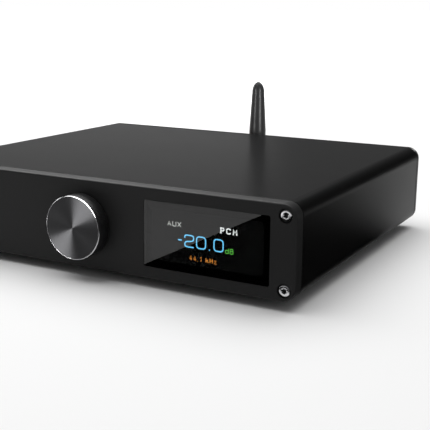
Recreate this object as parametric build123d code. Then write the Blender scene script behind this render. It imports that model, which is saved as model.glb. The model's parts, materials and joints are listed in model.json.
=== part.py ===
from build123d import *
import math
import os

# Compact desktop stereo receiver: an extruded aluminium case with a front and a rear plate,
# one knob, a glass display window and a folding antenna behind.
# Millimetres. +X is the viewer's right, the front faces -Y, +Z is up.
# The origin is on the table, below the middle of the whole object.

# ---- driving dimensions: case ----
case_width = 192.5
case_height = 38.0
case_depth = 158.0
corner_radius = 5.7
case_wall = 2.0
front_thickness = 6.4
rear_thickness = 3.0
front_edge_radius = 0.8
joint_chamfer = 0.3
foot_height = 4.0
foot_radius = 7.0
foot_inset = 20.0
foot_edge_radius = 1.0
foot_recess_radius = 3.3
foot_recess_depth = 2.2
foot_head_radius = 2.8
foot_head_height = 1.6
foot_shank_radius = 1.5
foot_shank_length = 5.0
cross_length = 3.6
cross_width = 0.7
cross_height = 1.4

# ---- driving dimensions: plate screws ----
screw_inset = 4.5
screw_head_radius = 2.4
screw_head_height = 1.7
screw_head_gap = 0.45
screw_shank_radius = 1.25
screw_length = 12.0
screw_sink = 0.4
screw_boss_radius = 3.2
recess_radius = 1.15
recess_depth = 1.0
screw_head_edge = 0.7
lobe_share = 0.28

# ---- driving dimensions: knob and encoder ----
knob_x = 0.0
knob_radius = 13.5
knob_reach = 8.5
press_travel = 0.5
knob_gap = 2 * press_travel
knob_chamfer = 0.55
shaft_radius = 3.0
bushing_wall = 0.5
bushing_reach = 4.9
encoder_size = 12.0
encoder_depth = 6.5
nut_across_flats = 10.0
nut_thickness = 2.0
washer_thickness = 0.5
washer_radius = 6.0
nut_slack = 0.2
encoder_pocket_gap = 0.5
encoder_setback = 1.9
encoder_can_wall = 1.0
encoder_pin_pitch = 2.5
encoder_pin_size = 0.8
encoder_pin_drop = 5.5
shaft_flat_depth = 1.0
shaft_flat_length = 6.0
shaft_start = 2.5
shaft_tail = 1.6
plunger_gap = 0.1
plunger_stem_radius = 1.5
plunger_stem_length = 0.6
plunger_disc_radius = 2.6
plunger_disc_thickness = 1.0
knob_rim_width = 1.3
knob_face_sink = 0.25
knob_hub_wall = 3.2
knob_side_wall = 1.8
knob_face_wall = 3.5
grub_place = 5.0
grub_radius = 1.5
grub_length = 4.0
grub_socket_radius = 0.85
grub_socket_depth = 1.5

# ---- driving dimensions: display ----
glass_width = 56.0
glass_height = 27.5
glass_thickness = 1.8
glass_sink = 0.25
glass_centre_x = 57.5
glass_gap = 0.15
glass_corner = 0.8
glass_ledge = 3.0
gasket_thickness = 0.3
panel_width = 44.0
panel_height = 21.0
panel_thickness = 2.0
panel_corner = 0.4
panel_back_width = 30.0
panel_back_height = 16.0
window_corner = 1.5
gasket_inset = 0.2

# ---- driving dimensions: boards ----
board_thickness = 1.6
board_height = 6.0
board_edge = 6.4
rail_reach = 2.2
rail_wall = 1.2
board_clearance = 0.1
front_board_gap = 8.0
front_board_height = 25.0
front_board_screw_inset = 14.0
front_board_screw_rise = 9.0
spacer_radius = 2.4
spacer_bore = 1.2
board_screw_radius = 1.0
board_screw_grip = 2.5
board_screw_head_radius = 2.0
board_screw_head_height = 1.4
board_recess_radius = 0.9
board_recess_depth = 0.7
sensor_radius = 1.1
sensor_width = 2.4
sensor_height = 5.0
chip_height = 2.0
amplifier_x = -45.0
spreader_width = 26.0
spreader_depth = 18.0
spreader_slot = 3.2
spreader_pitch = 7.0
supply_can_radius = 8.0
supply_can_height = 20.0
signal_can_radius = 3.15
signal_can_height = 7.0
can_edge_radius = 0.8
coil_size = 12.5
coil_height = 9.0
coil_pitch = 17.0
logic_height = 1.2
module_height = 2.6
ribbon_x = 20.0
ribbon_width = 20.0
ribbon_thickness = 0.6
header_width = 22.0
header_height = 4.0

# ---- driving dimensions: sockets on the rear plate ----
antenna_x = -4.1
antenna_back = 15.0
antenna_radius = 4.8
antenna_top = 66.0
antenna_taper = 28.0
antenna_cap = 6.0
antenna_cap_radius = 3.5
antenna_foot_bevel = 0.5
antenna_arm_radius = 4.2
antenna_fork_half = 2.0
hinge_pin_radius = 1.0
antenna_barrel_radius = 3.2
antenna_barrel_reach = 6.0
antenna_barrel_tail = 5.0
antenna_barrel_bore = 2.3
antenna_stop_radius = 4.5
antenna_stop_thickness = 2.0
antenna_nut_flats = 8.0
antenna_nut_thickness = 2.0
antenna_hole_radius = 3.25
antenna_collar_wall = 0.6
antenna_collar_length = 5.6
antenna_collar_depth = 4.4
lead_radius = 0.7
lead_bend = 2.0
post_x = -71.5
post_pitch = 19.05
post_row_pitch = 16.0
post_radius = 5.5
post_reach = 18.0
post_stud_radius = 3.0
banana_radius = 2.05
post_stub = 7.0
post_nut_flats = 10.0
post_nut_thickness = 2.4
post_collar = 1.5
post_base_thickness = 2.0
thumb_flutes = 12
thumb_flute_radius = 1.0
thumb_flute_offset = 0.55
thumb_flute_foot = 2.5
thumb_chamfer = 0.5
thumb_cap = 1.4
banana_gap = 0.3
phono_pitch = 14.0
phono_radius = 4.15
phono_reach = 8.5
phono_core_radius = 2.6
phono_pin_radius = 1.65
phono_neck = 0.25
phono_wall = 0.75
phono_tail = 6.0
phono_body_width = 10.5
phono_body_depth = 13.0
phono_flange = 1.5
line_in_x = -40.0
digital_x = 20.0
optical_x = 36.0
optical_size = 9.8
optical_port = 7.4
shutter_axle_radius = 0.45
shutter_thickness = 0.7
shutter_drop = 0.7
shutter_setback = 0.55
optical_depth = 10.0
optical_bore_depth = 5.5
optical_lip = 0.6
data_x = 52.0
data_width = 12.0
data_height = 11.0
data_wall = 0.8
data_depth = 12.0
data_lip = 1.0
tongue_width = 5.6
tongue_height = 3.2
tongue_base = 2.0
power_x = 68.0
power_collar_radius = 3.95
power_body_width = 10.5
power_body_height = 11.5
power_body_depth = 12.0
power_bore_radius = 2.9
power_bore_depth = 9.5
power_pin_radius = 1.2
power_pin_edge = 0.5
switch_x = 83.0
switch_width = 9.2
switch_height = 13.4
switch_wall = 0.8
switch_tilt = 9.0
rocker_axle_radius = 0.8
rocker_setback = 1.2
switch_depth = 9.0
switch_cavity_depth = 3.5
switch_flange = 0.9
switch_flange_thickness = 1.4
headphone_x = -70.0
headphone_radius = 3.2
headphone_wall = 1.8
headphone_ring_height = 1.2
headphone_ring_width = 1.6
headphone_ring_chamfer = 0.4
headphone_body = 16.0
headphone_body_depth = 14.0
headphone_link_radius = 5.5

# ---- named clearances ----
running_gap = 0.05
moving_gap = 0.35
fit_gap = 0.15
thread_gap = 0.1

# ---- places that follow ----
bushing_radius = shaft_radius + bushing_wall
rear_reach = max(antenna_back + antenna_radius, post_reach + 1.0)
front_y = (knob_reach - case_depth - rear_reach) / 2
rear_y = front_y + case_depth
sleeve_y = front_y + front_thickness
sleeve_end = rear_y - rear_thickness
base_z = foot_height
mid_z = foot_height + case_height / 2
board_top = base_z + board_height + board_thickness
board_front = sleeve_y + front_board_gap + board_thickness + 1.0
board_back = sleeve_end - 0.3
inner_width = case_width - 2 * case_wall
inner_height = case_height - 2 * case_wall
board_half_width = inner_width / 2 - board_edge
post_nut_radius = post_nut_flats / math.sqrt(3)
phono_low_z = board_top + phono_radius + 0.45
phono_levels = (phono_low_z, phono_low_z + phono_pitch)
optical_z = board_top + optical_size / 2
data_z = board_top + data_height / 2
power_z = board_top + 6.0
antenna_y = rear_y + antenna_back
tongue_radius = antenna_arm_radius - 0.7
display_back = front_y + glass_sink + glass_thickness + gasket_thickness
front_board_y = sleeve_y + front_board_gap
screw_spots = [
    (sx * (case_width / 2 - screw_inset), mid_z + sz * (case_height / 2 - screw_inset))
    for sx in (-1, 1)
    for sz in (-1, 1)
]
foot_spots = [
    (sx * (case_width / 2 - foot_inset), middle + sy * (case_depth / 2 - foot_inset))
    for middle in [front_y + case_depth / 2]
    for sx in (-1, 1)
    for sy in (-1, 1)
]
post_spots = [
    (post_x + sx * post_pitch / 2, mid_z + sz * post_row_pitch / 2)
    for sx in (-1, 1)
    for sz in (-1, 1)
]
ALONG_Y = (-90, 0, 0)


# ---- small helpers ----
def rod(x, y, z, radius, length):
    """A cylinder that starts at y and runs back along +Y."""
    return Pos(x, y, z) * Rot(*ALONG_Y) * Cylinder(
        radius, length, align=(Align.CENTER, Align.CENTER, Align.MIN))


def ring(x, y, z, outer, inner, length):
    """A tube along +Y."""
    return rod(x, y, z, outer, length) - rod(x, y - 1, z, inner, length + 2)


def block(x, y, z, width, depth, height):
    """A box centred on x, starting at y and at z."""
    return Pos(x, y, z) * Box(
        width, depth, height, align=(Align.CENTER, Align.MIN, Align.MIN))


def slab(x, y, z, width, height, length, radius):
    """A rounded rectangle centred on x and z, run back along +Y from y."""
    face = Plane(origin=(x, y, z), x_dir=(1, 0, 0), z_dir=(0, 1, 0)) * RectangleRounded(
        width, height, radius)
    return extrude(face, amount=length)


def prism_y(x, y, z, sides, radius, length, turn=0.0):
    """A regular prism along +Y."""
    face = Plane(origin=(x, y, z), x_dir=(1, 0, 0), z_dir=(0, 1, 0)) * RegularPolygon(
        radius, sides, rotation=turn)
    return extrude(face, amount=length)


def end_edges(solid, y):
    """The edges of a solid that lie in the plane at y."""
    return solid.edges().filter_by_position(Axis.Y, y - 0.01, y + 0.01)


def hexalobe(x, y, z, radius, depth):
    """A six-lobed driver recess along +Y."""
    lobes = rod(x, y, z, radius * (1 - lobe_share), depth)
    for step in range(6):
        angle = math.radians(60 * step)
        spot_x = x + radius * (1 - lobe_share) * math.cos(angle)
        spot_z = z + radius * (1 - lobe_share) * math.sin(angle)
        lobes = lobes + rod(spot_x, y, spot_z, radius * lobe_share, depth)
    return lobes


def pieces(*solids):
    """Separate solids kept in one node."""
    return Compound(children=[s for s in solids])


# ---- case ----
def case_sleeve():
    length = sleeve_end - sleeve_y
    outer = slab(0, sleeve_y, mid_z, case_width, case_height, length, corner_radius)
    outer = chamfer(end_edges(outer, sleeve_y) + end_edges(outer, sleeve_end), joint_chamfer)
    hollow = slab(0, sleeve_y - 1, mid_z, inner_width, inner_height, length + 2,
                  corner_radius - case_wall)
    sleeve = outer - hollow
    for x, z in screw_spots:
        boss = rod(x, sleeve_y, z, screw_boss_radius, length)
        sleeve = sleeve + (boss & slab(0, sleeve_y, mid_z, case_width - 1, case_height - 1,
                                       length, corner_radius - 0.5))
    # a C-shaped rail along each side of the floor holds the main board's edge
    rail_top = board_top + board_clearance + rail_wall
    slot_z = board_top - board_thickness - board_clearance
    for side in (-1, 1):
        web_x = side * (board_half_width + board_clearance + rail_wall / 2)
        lip_x = side * (board_half_width + board_clearance - rail_reach / 2)
        floor_z = base_z + case_wall - 0.5
        rail = block(web_x, sleeve_y, floor_z, rail_wall, length, rail_top - floor_z)
        rail = rail + block(lip_x, sleeve_y, slot_z - rail_wall, rail_reach, length, rail_wall)
        rail = rail + block(lip_x, sleeve_y, rail_top - rail_wall, rail_reach, length, rail_wall)
        sleeve = sleeve + rail
    for x, z in screw_spots:
        sleeve = sleeve - rod(x, sleeve_y - 1, z, screw_shank_radius + thread_gap, length + 2)
    for x, y in foot_spots:
        sleeve = sleeve - Pos(x, y, base_z) * Cylinder(foot_shank_radius + thread_gap, 4 * case_wall)
    return sleeve


def front_panel():
    plate = slab(0, front_y, mid_z, case_width, case_height, front_thickness, corner_radius)
    plate = fillet(end_edges(plate, front_y), front_edge_radius)
    plate = chamfer(end_edges(plate, sleeve_y), joint_chamfer)
    for x, z in screw_spots:
        head_hole = rod(x, front_y - 1, z, screw_head_radius + screw_head_gap,
                        1 + screw_head_height + screw_sink)
        plate = plate - head_hole
        plate = plate - rod(x, front_y, z, screw_shank_radius + fit_gap, front_thickness + 1)
    # knob: a sunk nut in front, a bushing hole, and a pocket for the encoder behind
    plate = plate - rod(knob_x, front_y - 1, mid_z, nut_across_flats * 0.75, 1 + nut_thickness)
    plate = plate - rod(knob_x, front_y, mid_z, bushing_radius + fit_gap, front_thickness + 1)
    plate = plate - slab(knob_x, encoder_front(), mid_z, encoder_size + 2 * encoder_pocket_gap,
                         encoder_size + 2 * encoder_pocket_gap, front_thickness, encoder_can_wall)
    # display: a stepped pocket, with a window behind the glass
    plate = plate - slab(glass_centre_x, front_y - 1, mid_z, glass_width + 2 * glass_gap,
                         glass_height + 2 * glass_gap,
                         1 + glass_sink + glass_thickness + gasket_thickness, glass_corner + glass_gap)
    plate = plate - slab(glass_centre_x, front_y, mid_z, glass_width - 2 * glass_ledge,
                         glass_height - 2 * glass_ledge, front_thickness + 1, window_corner)
    # headphone socket
    barrel_hole = headphone_radius + headphone_wall + fit_gap
    plate = plate - rod(headphone_x, front_y - 1, mid_z, barrel_hole, front_thickness + 2)
    for x, z in front_board_spots():
        plate = plate - rod(x, sleeve_y - board_screw_grip - 0.5, z, board_screw_radius + thread_gap, 4)
    return plate


def rear_panel():
    plate = slab(0, sleeve_end, mid_z, case_width, case_height, rear_thickness, corner_radius)
    plate = chamfer(end_edges(plate, sleeve_end) + end_edges(plate, rear_y), joint_chamfer)
    for x, z in screw_spots:
        plate = plate - rod(x, sleeve_end - 1, z, screw_shank_radius + fit_gap, rear_thickness + 2)
    for x, z in post_spots:
        plate = plate - rod(x, sleeve_end - 1, z, post_stud_radius + post_collar + fit_gap,
                            rear_thickness + 2)
    for x in (line_in_x, digital_x):
        for z in phono_levels:
            plate = plate - rod(x, sleeve_end - 1, z, phono_radius + fit_gap, rear_thickness + 2)
    plate = plate - rod(antenna_x, sleeve_end - 1, mid_z, antenna_hole_radius + fit_gap, rear_thickness + 2)
    for x, z, width, height in (
            (optical_x, optical_z, optical_size, optical_size),
            (data_x, data_z, data_width, data_height),
            (switch_x, mid_z, switch_width, switch_height)):
        plate = plate - slab(x, sleeve_end - 1, z, width + 2 * fit_gap, height + 2 * fit_gap,
                             rear_thickness + 2, 0.2)
    plate = plate - rod(power_x, sleeve_end - 1, power_z, power_collar_radius + fit_gap,
                        rear_thickness + 2)
    return plate


def plate_screw(x, y, z, facing):
    """A pan-head screw; facing is +1 when its shank runs back along +Y."""
    head = rod(x, y, z, screw_head_radius, screw_head_height)
    head = fillet(end_edges(head, y), screw_head_edge)
    head = head - hexalobe(x, y - 0.01, z, recess_radius, recess_depth)
    screw = head + rod(x, y + screw_head_height, z, screw_shank_radius, screw_length)
    if facing < 0:
        screw = Pos(x, y, z) * Rot(0, 0, 180) * Pos(-x, -y, -z) * screw
    return screw


def front_screws():
    return pieces(*[plate_screw(x, front_y + screw_sink, z, 1) for x, z in screw_spots])


def rear_screws():
    head_y = rear_y + screw_head_height
    return pieces(*[plate_screw(x, head_y, z, -1) for x, z in screw_spots])


def rubber_feet():
    feet = []
    for x, y in foot_spots:
        foot = Pos(x, y, 0) * Cylinder(
            foot_radius, foot_height, align=(Align.CENTER, Align.CENTER, Align.MIN))
        foot = fillet(foot.edges().group_by(Axis.Z)[0], foot_edge_radius)
        foot = foot - Pos(x, y, 0) * Cylinder(
            foot_recess_radius, foot_recess_depth, align=(Align.CENTER, Align.CENTER, Align.MIN))
        foot = foot - Pos(x, y, 0) * Cylinder(foot_shank_radius + fit_gap, 3 * foot_height)
        feet.append(foot)
    return pieces(*feet)


def foot_screws():
    screws = []
    for x, y in foot_spots:
        head_z = foot_recess_depth - foot_head_height
        head = Pos(x, y, head_z) * Cylinder(
            foot_head_radius, foot_head_height, align=(Align.CENTER, Align.CENTER, Align.MIN))
        shank = Pos(x, y, foot_recess_depth) * Cylinder(
            foot_shank_radius, foot_shank_length, align=(Align.CENTER, Align.CENTER, Align.MIN))
        slot = Pos(x, y, head_z) * (Box(cross_length, cross_width, cross_height)
                                    + Box(cross_width, cross_length, cross_height))
        screws.append(head + shank - slot)
    return pieces(*screws)


# ---- display ----
def display_glass():
    return slab(glass_centre_x, front_y + glass_sink, mid_z, glass_width, glass_height,
                glass_thickness, glass_corner)


def display_gasket():
    y = front_y + glass_sink + glass_thickness
    frame = slab(glass_centre_x, y, mid_z, glass_width - 2 * gasket_inset, glass_height - 2 * gasket_inset,
                 gasket_thickness, glass_corner)
    return frame - slab(glass_centre_x, y - 1, mid_z, glass_width - 2 * glass_ledge,
                        glass_height - 2 * glass_ledge, gasket_thickness + 2, window_corner)


def display_panel():
    y = display_back
    screen = slab(glass_centre_x, y, mid_z, panel_width, panel_height, panel_thickness,
                  panel_corner)
    spacer_length = front_board_y - y - panel_thickness
    back = block(glass_centre_x, y + panel_thickness, mid_z - panel_back_height / 2,
                 panel_back_width, spacer_length, panel_back_height)
    return screen + back


def front_board_spots():
    half_width = case_width / 2 - front_board_screw_inset
    return [(sx * half_width, mid_z + sz * front_board_screw_rise) for sx in (-1, 1) for sz in (-1, 1)]


def front_board():
    width = 2 * (board_half_width - rail_reach - 1)
    board = block(0, front_board_y, mid_z - front_board_height / 2, width, board_thickness,
                  front_board_height)
    for x, z in front_board_spots():
        board = board - rod(x, front_board_y - 1, z, spacer_bore, board_thickness + 2)
    return board - rod(headphone_x, front_board_y - 1, mid_z, headphone_link_radius + fit_gap,
                       board_thickness + 2)


def front_board_spacers():
    length = front_board_y - sleeve_y
    return pieces(*[ring(x, sleeve_y, z, spacer_radius, spacer_bore, length)
                    for x, z in front_board_spots()])


def front_board_screws():
    screws = []
    for x, z in front_board_spots():
        back_y = front_board_y + board_thickness
        head = rod(x, back_y, z, board_screw_head_radius, board_screw_head_height)
        shank = rod(x, sleeve_y - board_screw_grip, z, board_screw_radius,
                    back_y - sleeve_y + board_screw_grip)
        screws.append(head + shank - hexalobe(
            x, back_y + board_recess_depth, z, board_recess_radius, board_recess_depth + 0.1))
    return pieces(*screws)


def infrared_receiver():
    x = glass_centre_x - panel_width / 2 - 1.5
    lens_y = display_back + 1.0
    body = block(x, lens_y, mid_z - sensor_height / 2, sensor_width, front_board_y - lens_y,
                 sensor_height)
    return body + Pos(x, lens_y, mid_z) * Sphere(sensor_radius)


# ---- knob and encoder ----
def encoder_front():
    return front_y + nut_thickness + washer_thickness + encoder_setback


def encoder_body():
    can_y = encoder_front()
    size = encoder_size
    can = slab(knob_x, can_y, mid_z, size, size, encoder_depth, 0.6)
    can = can - slab(knob_x, can_y + encoder_can_wall, mid_z, size - 2 * encoder_can_wall,
                     size - 2 * encoder_can_wall, encoder_depth - 2 * encoder_can_wall, 0.4)
    can = can + rod(knob_x, can_y - bushing_reach, mid_z, bushing_radius, bushing_reach + 0.5)
    can = can - rod(knob_x, front_y - 10, mid_z, shaft_radius + running_gap, 10 + can_y - front_y + 2)
    pins_y = can_y + encoder_depth
    for side in (-1, 0, 1):
        can = can + block(knob_x + side * encoder_pin_pitch, pins_y - 0.5, mid_z - encoder_pin_drop,
                          encoder_pin_size, front_board_y - pins_y + 0.5, encoder_pin_size)
    return can


def encoder_washer():
    y = front_y + nut_thickness
    return ring(knob_x, y - washer_thickness, mid_z, washer_radius,
                bushing_radius + thread_gap, washer_thickness)


def encoder_nut():
    y = front_y - washer_thickness + nut_slack
    nut = prism_y(knob_x, y, mid_z, 6, nut_across_flats / math.sqrt(3), nut_thickness - nut_slack)
    return nut - rod(knob_x, y - 1, mid_z, bushing_radius + thread_gap, nut_thickness + 2)


def turned_down(solid):
    """Half a turn about the knob's axis, which puts the grub screw underneath."""
    return solid.rotate(Axis((knob_x, 0, mid_z), (0, 1, 0)), 180)


def shaft_end_y():
    return encoder_front() + shaft_tail


def encoder_shaft():
    start = front_y - knob_reach + shaft_start
    shaft = rod(knob_x, start, mid_z, shaft_radius, shaft_end_y() - start)
    flat = block(knob_x, start - 1, mid_z + shaft_radius - shaft_flat_depth, 8,
                 1 + shaft_flat_length, 3)
    return turned_down(shaft - flat)


def press_plunger():
    y = shaft_end_y() + plunger_gap
    stem = rod(knob_x, y, mid_z, plunger_stem_radius, plunger_stem_length)
    disc = rod(knob_x, y + plunger_stem_length - 0.2, mid_z, plunger_disc_radius,
               plunger_disc_thickness)
    return stem + disc


def knob():
    face_y = front_y - knob_reach
    depth = knob_reach - knob_gap
    body = rod(knob_x, face_y, mid_z, knob_radius, depth)
    body = chamfer(end_edges(body, face_y), knob_chamfer)
    body = body - rod(knob_x, face_y - 1, mid_z, knob_radius - knob_rim_width, 1 + knob_face_sink)
    hub_radius = shaft_radius + knob_hub_wall
    hollow = ring(knob_x, face_y + knob_face_wall, mid_z, knob_radius - knob_side_wall, hub_radius, depth)
    body = body - hollow
    # the hub stops short of the nut and the panel
    body = body - rod(knob_x, front_y - knob_gap - 1.6, mid_z, hub_radius + 0.5, depth)
    body = body - rod(knob_x, face_y + 2.4, mid_z, shaft_radius + 0.01, depth)
    body = body + (block(knob_x, face_y + 2.4, mid_z + shaft_radius - shaft_flat_depth + 0.05, 5, 1.6, 1.2)
                   & rod(knob_x, face_y, mid_z, shaft_radius + 0.5, depth))
    grub = Pos(knob_x, face_y + grub_place, mid_z + shaft_radius - shaft_flat_depth) * Cylinder(
        grub_radius, knob_radius, align=(Align.CENTER, Align.CENTER, Align.MIN))
    return turned_down(body - grub)


def knob_screw():
    y = front_y - knob_reach + grub_place
    start = mid_z + shaft_radius - shaft_flat_depth
    screw = Pos(knob_x, y, start) * Cylinder(
        grub_radius - running_gap, grub_length, align=(Align.CENTER, Align.CENTER, Align.MIN))
    socket = Pos(knob_x, y, start + grub_length) * Rot(0, 0, 30) * extrude(
        RegularPolygon(grub_socket_radius, 6), amount=-grub_socket_depth)
    return turned_down(screw - socket)


# ---- headphone socket ----
def headphone_socket():
    y = front_y - headphone_ring_height - 0.2
    barrel = rod(headphone_x, y, mid_z, headphone_radius + headphone_wall, sleeve_y - y + 1)
    body = block(headphone_x, sleeve_y + 0.4, mid_z - headphone_body / 2, headphone_body,
                 front_board_y - sleeve_y - 0.4, headphone_body)
    back = block(headphone_x, front_board_y + board_thickness, mid_z - headphone_body / 2, headphone_body,
                 headphone_body_depth, headphone_body)
    link = rod(headphone_x, front_board_y - 1, mid_z, headphone_link_radius, board_thickness + 2)
    socket = barrel + body + link + back
    bore_length = back.bounding_box().max.Y - 1.5 - y
    return socket - rod(headphone_x, y - 1, mid_z, headphone_radius, bore_length + 1)


def headphone_ring():
    y = front_y - headphone_ring_height
    thread_radius = headphone_radius + headphone_wall
    band = ring(headphone_x, y, mid_z, thread_radius + headphone_ring_width, thread_radius + thread_gap,
                headphone_ring_height)
    band = chamfer(end_edges(band, y).sort_by(SortBy.LENGTH)[-1:], headphone_ring_chamfer)
    return band


# ---- main board ----
def main_board():
    board = block(0, board_front, board_top - board_thickness, 2 * board_half_width,
                  board_back - board_front, board_thickness)
    notch_width = post_pitch + 2 * post_nut_radius + 2
    return board - block(post_x, sleeve_end - post_stub - 2, base_z, notch_width, 20, 20)


def on_board(x, y, width, depth, height):
    return block(x, y, board_top, width, depth, height)


def amplifier_chip():
    return on_board(amplifier_x, rear_y - 92, 14, 10, chip_height)


def heat_spreader():
    top = base_z + case_height - case_wall
    foot_z = board_top + chip_height
    body = block(amplifier_x, rear_y - 96, foot_z, spreader_width, spreader_depth, top - foot_z)
    for step in (-1, 0, 1):
        body = body - block(amplifier_x + step * spreader_pitch, rear_y - 97, foot_z + 6, spreader_slot,
                            spreader_depth + 2, top - foot_z - 10)
    return body


def capacitor(x, y, radius, height):
    can = Pos(x, y, board_top) * Cylinder(
        radius, height, align=(Align.CENTER, Align.CENTER, Align.MIN))
    return fillet(can.edges().group_by(Axis.Z)[-1], can_edge_radius)


def capacitors():
    supply = [capacitor(40 + 18 * step, rear_y - 62, supply_can_radius, supply_can_height)
              for step in range(3)]
    signal = [capacitor(-14 + 9 * step, rear_y - 60, signal_can_radius, signal_can_height)
              for step in range(4)]
    return pieces(*supply, *signal)


def output_inductors():
    coils = []
    for step in range(4):
        x = post_x - 5 + coil_pitch * step
        coils.append(on_board(x, rear_y - 66, coil_size, coil_size, coil_height))
    return pieces(*coils)


def logic_chips():
    return pieces(
        on_board(8, rear_y - 96, 10, 10, logic_height),
        on_board(30, rear_y - 96, 7, 7, logic_height),
        on_board(52, rear_y - 96, 9, 6, logic_height))


def wireless_module():
    return on_board(-6, rear_y - 44, 14, 18, module_height)


def ribbon_headers():
    upper = block(ribbon_x, front_board_y + board_thickness, board_top + 4.4, header_width,
                  header_height, header_height)
    lower = on_board(ribbon_x, board_front + 8, header_width, 5, header_height)
    return pieces(upper, lower)


def ribbon_cable():
    start_y = front_board_y + board_thickness + header_height
    high_z = board_top + 6.2
    low_y = board_front + 10.2
    top_run = block(ribbon_x, start_y, high_z, ribbon_width, low_y - start_y + ribbon_thickness,
                    ribbon_thickness)
    drop = block(ribbon_x, low_y, board_top + header_height, ribbon_width, ribbon_thickness,
                 high_z - board_top - header_height + ribbon_thickness / 2)
    return top_run + drop


# ---- antenna ----
def antenna_socket():
    stop = rod(antenna_x, sleeve_end - antenna_stop_thickness, mid_z, antenna_stop_radius,
               antenna_stop_thickness)
    barrel = rod(antenna_x, sleeve_end - antenna_barrel_tail, mid_z, antenna_barrel_radius,
                 antenna_barrel_tail + rear_thickness + antenna_barrel_reach)
    socket = stop + barrel
    return socket - rod(antenna_x, rear_y + 2.5, mid_z, antenna_barrel_bore, antenna_barrel_reach)


def antenna_nut():
    nut = prism_y(antenna_x, rear_y, mid_z, 6, antenna_nut_flats / math.sqrt(3), antenna_nut_thickness)
    return nut - rod(antenna_x, rear_y - 1, mid_z, antenna_barrel_radius + thread_gap,
                     antenna_nut_thickness + 2)


def antenna_lead():
    start = (antenna_x, sleeve_end - antenna_barrel_tail, mid_z)
    end = (-6, rear_y - 35, board_top + module_height)
    low_z = board_top + 5.0
    route = FilletPolyline(
        start, (antenna_x, sleeve_end - 11.0, mid_z), (-6, rear_y - 27, low_z + 4),
        (-6, rear_y - 35, low_z + 4), end, radius=lead_bend)
    face = Plane(origin=start, z_dir=(0, -1, 0)) * Circle(lead_radius)
    return sweep(face, path=route)


def antenna_elbow():
    """Thread collar over the socket, then a fork that carries the mast's hinge."""
    collar_y = rear_y + antenna_nut_thickness + moving_gap
    half = antenna_fork_half + moving_gap
    pivot_y = antenna_y
    collar = rod(antenna_x, collar_y, mid_z, antenna_arm_radius + antenna_collar_wall,
                 antenna_collar_length)
    collar = collar - rod(antenna_x, collar_y - 1, mid_z, antenna_barrel_radius + running_gap,
                          1 + antenna_collar_depth)
    arm_y = collar_y + antenna_collar_length
    fork = Pos(antenna_x, arm_y - 0.5, mid_z) * Box(
        2 * antenna_arm_radius, pivot_y - arm_y + 0.5, 2 * antenna_arm_radius - 1.0,
        align=(Align.CENTER, Align.MIN, Align.CENTER))
    eye = Pos(antenna_x, pivot_y, mid_z) * Rot(0, 90, 0) * Cylinder(
        antenna_arm_radius - 0.5, 2 * antenna_arm_radius)
    slot_radius = math.hypot(tongue_radius, antenna_arm_radius - 0.5) + moving_gap
    slot = Pos(antenna_x, pivot_y, mid_z) * Rot(0, 90, 0) * Cylinder(slot_radius, 2 * half)
    slot_back = Pos(antenna_x, pivot_y, mid_z) * Box(
        2 * half, 2 * antenna_radius + 2, 2 * antenna_radius + 2,
        align=(Align.CENTER, Align.MIN, Align.CENTER))
    pin_hole = Pos(antenna_x, pivot_y, mid_z) * Rot(0, 90, 0) * Cylinder(
        hinge_pin_radius + running_gap, 40)
    return collar + fork + eye - slot - slot_back - pin_hole


def antenna_pin():
    return Pos(antenna_x, antenna_y, mid_z) * Rot(0, 90, 0) * Cylinder(
        hinge_pin_radius, 2 * antenna_arm_radius - 0.4)


def antenna_mast():
    """Slightly tapered mast with a rounded cap, and a flat tongue that turns on the hinge pin."""
    foot_z = mid_z + antenna_arm_radius + 2 * moving_gap
    top_z = base_z + antenna_top
    cap_z = top_z - antenna_cap
    side_x = antenna_x + antenna_radius
    quarter = [math.pi / 2 * step / 6 for step in range(7)]
    cap_curve = [(antenna_x + antenna_cap_radius * math.cos(turn), cap_z + antenna_cap * math.sin(turn))
                 for turn in quarter]
    with BuildPart() as mast:
        with BuildSketch(Plane.XZ.offset(-antenna_y)):
            with BuildLine():
                Polyline((antenna_x, top_z), (antenna_x, foot_z),
                         (side_x - antenna_foot_bevel, foot_z), (side_x, foot_z + antenna_foot_bevel),
                         (side_x, top_z - antenna_taper), (antenna_x + antenna_cap_radius, cap_z))
                Spline(*cap_curve, tangents=((0, 1), (-1, 0)))
            make_face()
        revolve(axis=Axis((antenna_x, antenna_y, 0), (0, 0, 1)))
    tongue_half = antenna_fork_half
    tongue = Pos(antenna_x, antenna_y, mid_z) * Rot(0, 90, 0) * Cylinder(
        tongue_radius, 2 * tongue_half)
    neck = Pos(antenna_x, antenna_y, mid_z) * Box(
        2 * tongue_half, 2 * tongue_radius, foot_z - mid_z + 1.0,
        align=(Align.CENTER, Align.CENTER, Align.MIN))
    pin_hole = Pos(antenna_x, antenna_y, mid_z) * Rot(0, 90, 0) * Cylinder(
        hinge_pin_radius, 20)
    return mast.part + tongue + neck - pin_hole


# ---- phono sockets ----
def phono_housing(x):
    top = phono_levels[1] + phono_radius + 1
    body = block(x, sleeve_end - phono_body_depth, board_top, phono_body_width, phono_body_depth,
                 top - board_top)
    for z in phono_levels:
        body = body - rod(x, sleeve_end - phono_tail, z, phono_radius - phono_neck, phono_tail + 1)
    return body


def phono_sleeves(x):
    sleeves = []
    for z in phono_levels:
        start = sleeve_end - phono_tail
        tube = rod(x, start, z, phono_radius - phono_neck, rear_y - start)
        tube = tube + rod(x, rear_y, z, phono_radius, phono_reach)
        sleeves.append(tube - rod(x, start - 1, z, phono_radius - phono_wall, 30))
    return pieces(*sleeves)


def phono_contacts(x):
    """The insulating core of each socket, with the hole for the plug's pin."""
    cores = []
    for z in phono_levels:
        start = sleeve_end - phono_tail
        core = rod(x, start, z, phono_core_radius, rear_y + phono_reach - 1 - start)
        core = core + rod(x, start, z, phono_radius - phono_wall, phono_flange)
        cores.append(core - rod(x, rear_y, z, phono_pin_radius, phono_reach + 1))
    return pieces(*cores)


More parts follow.
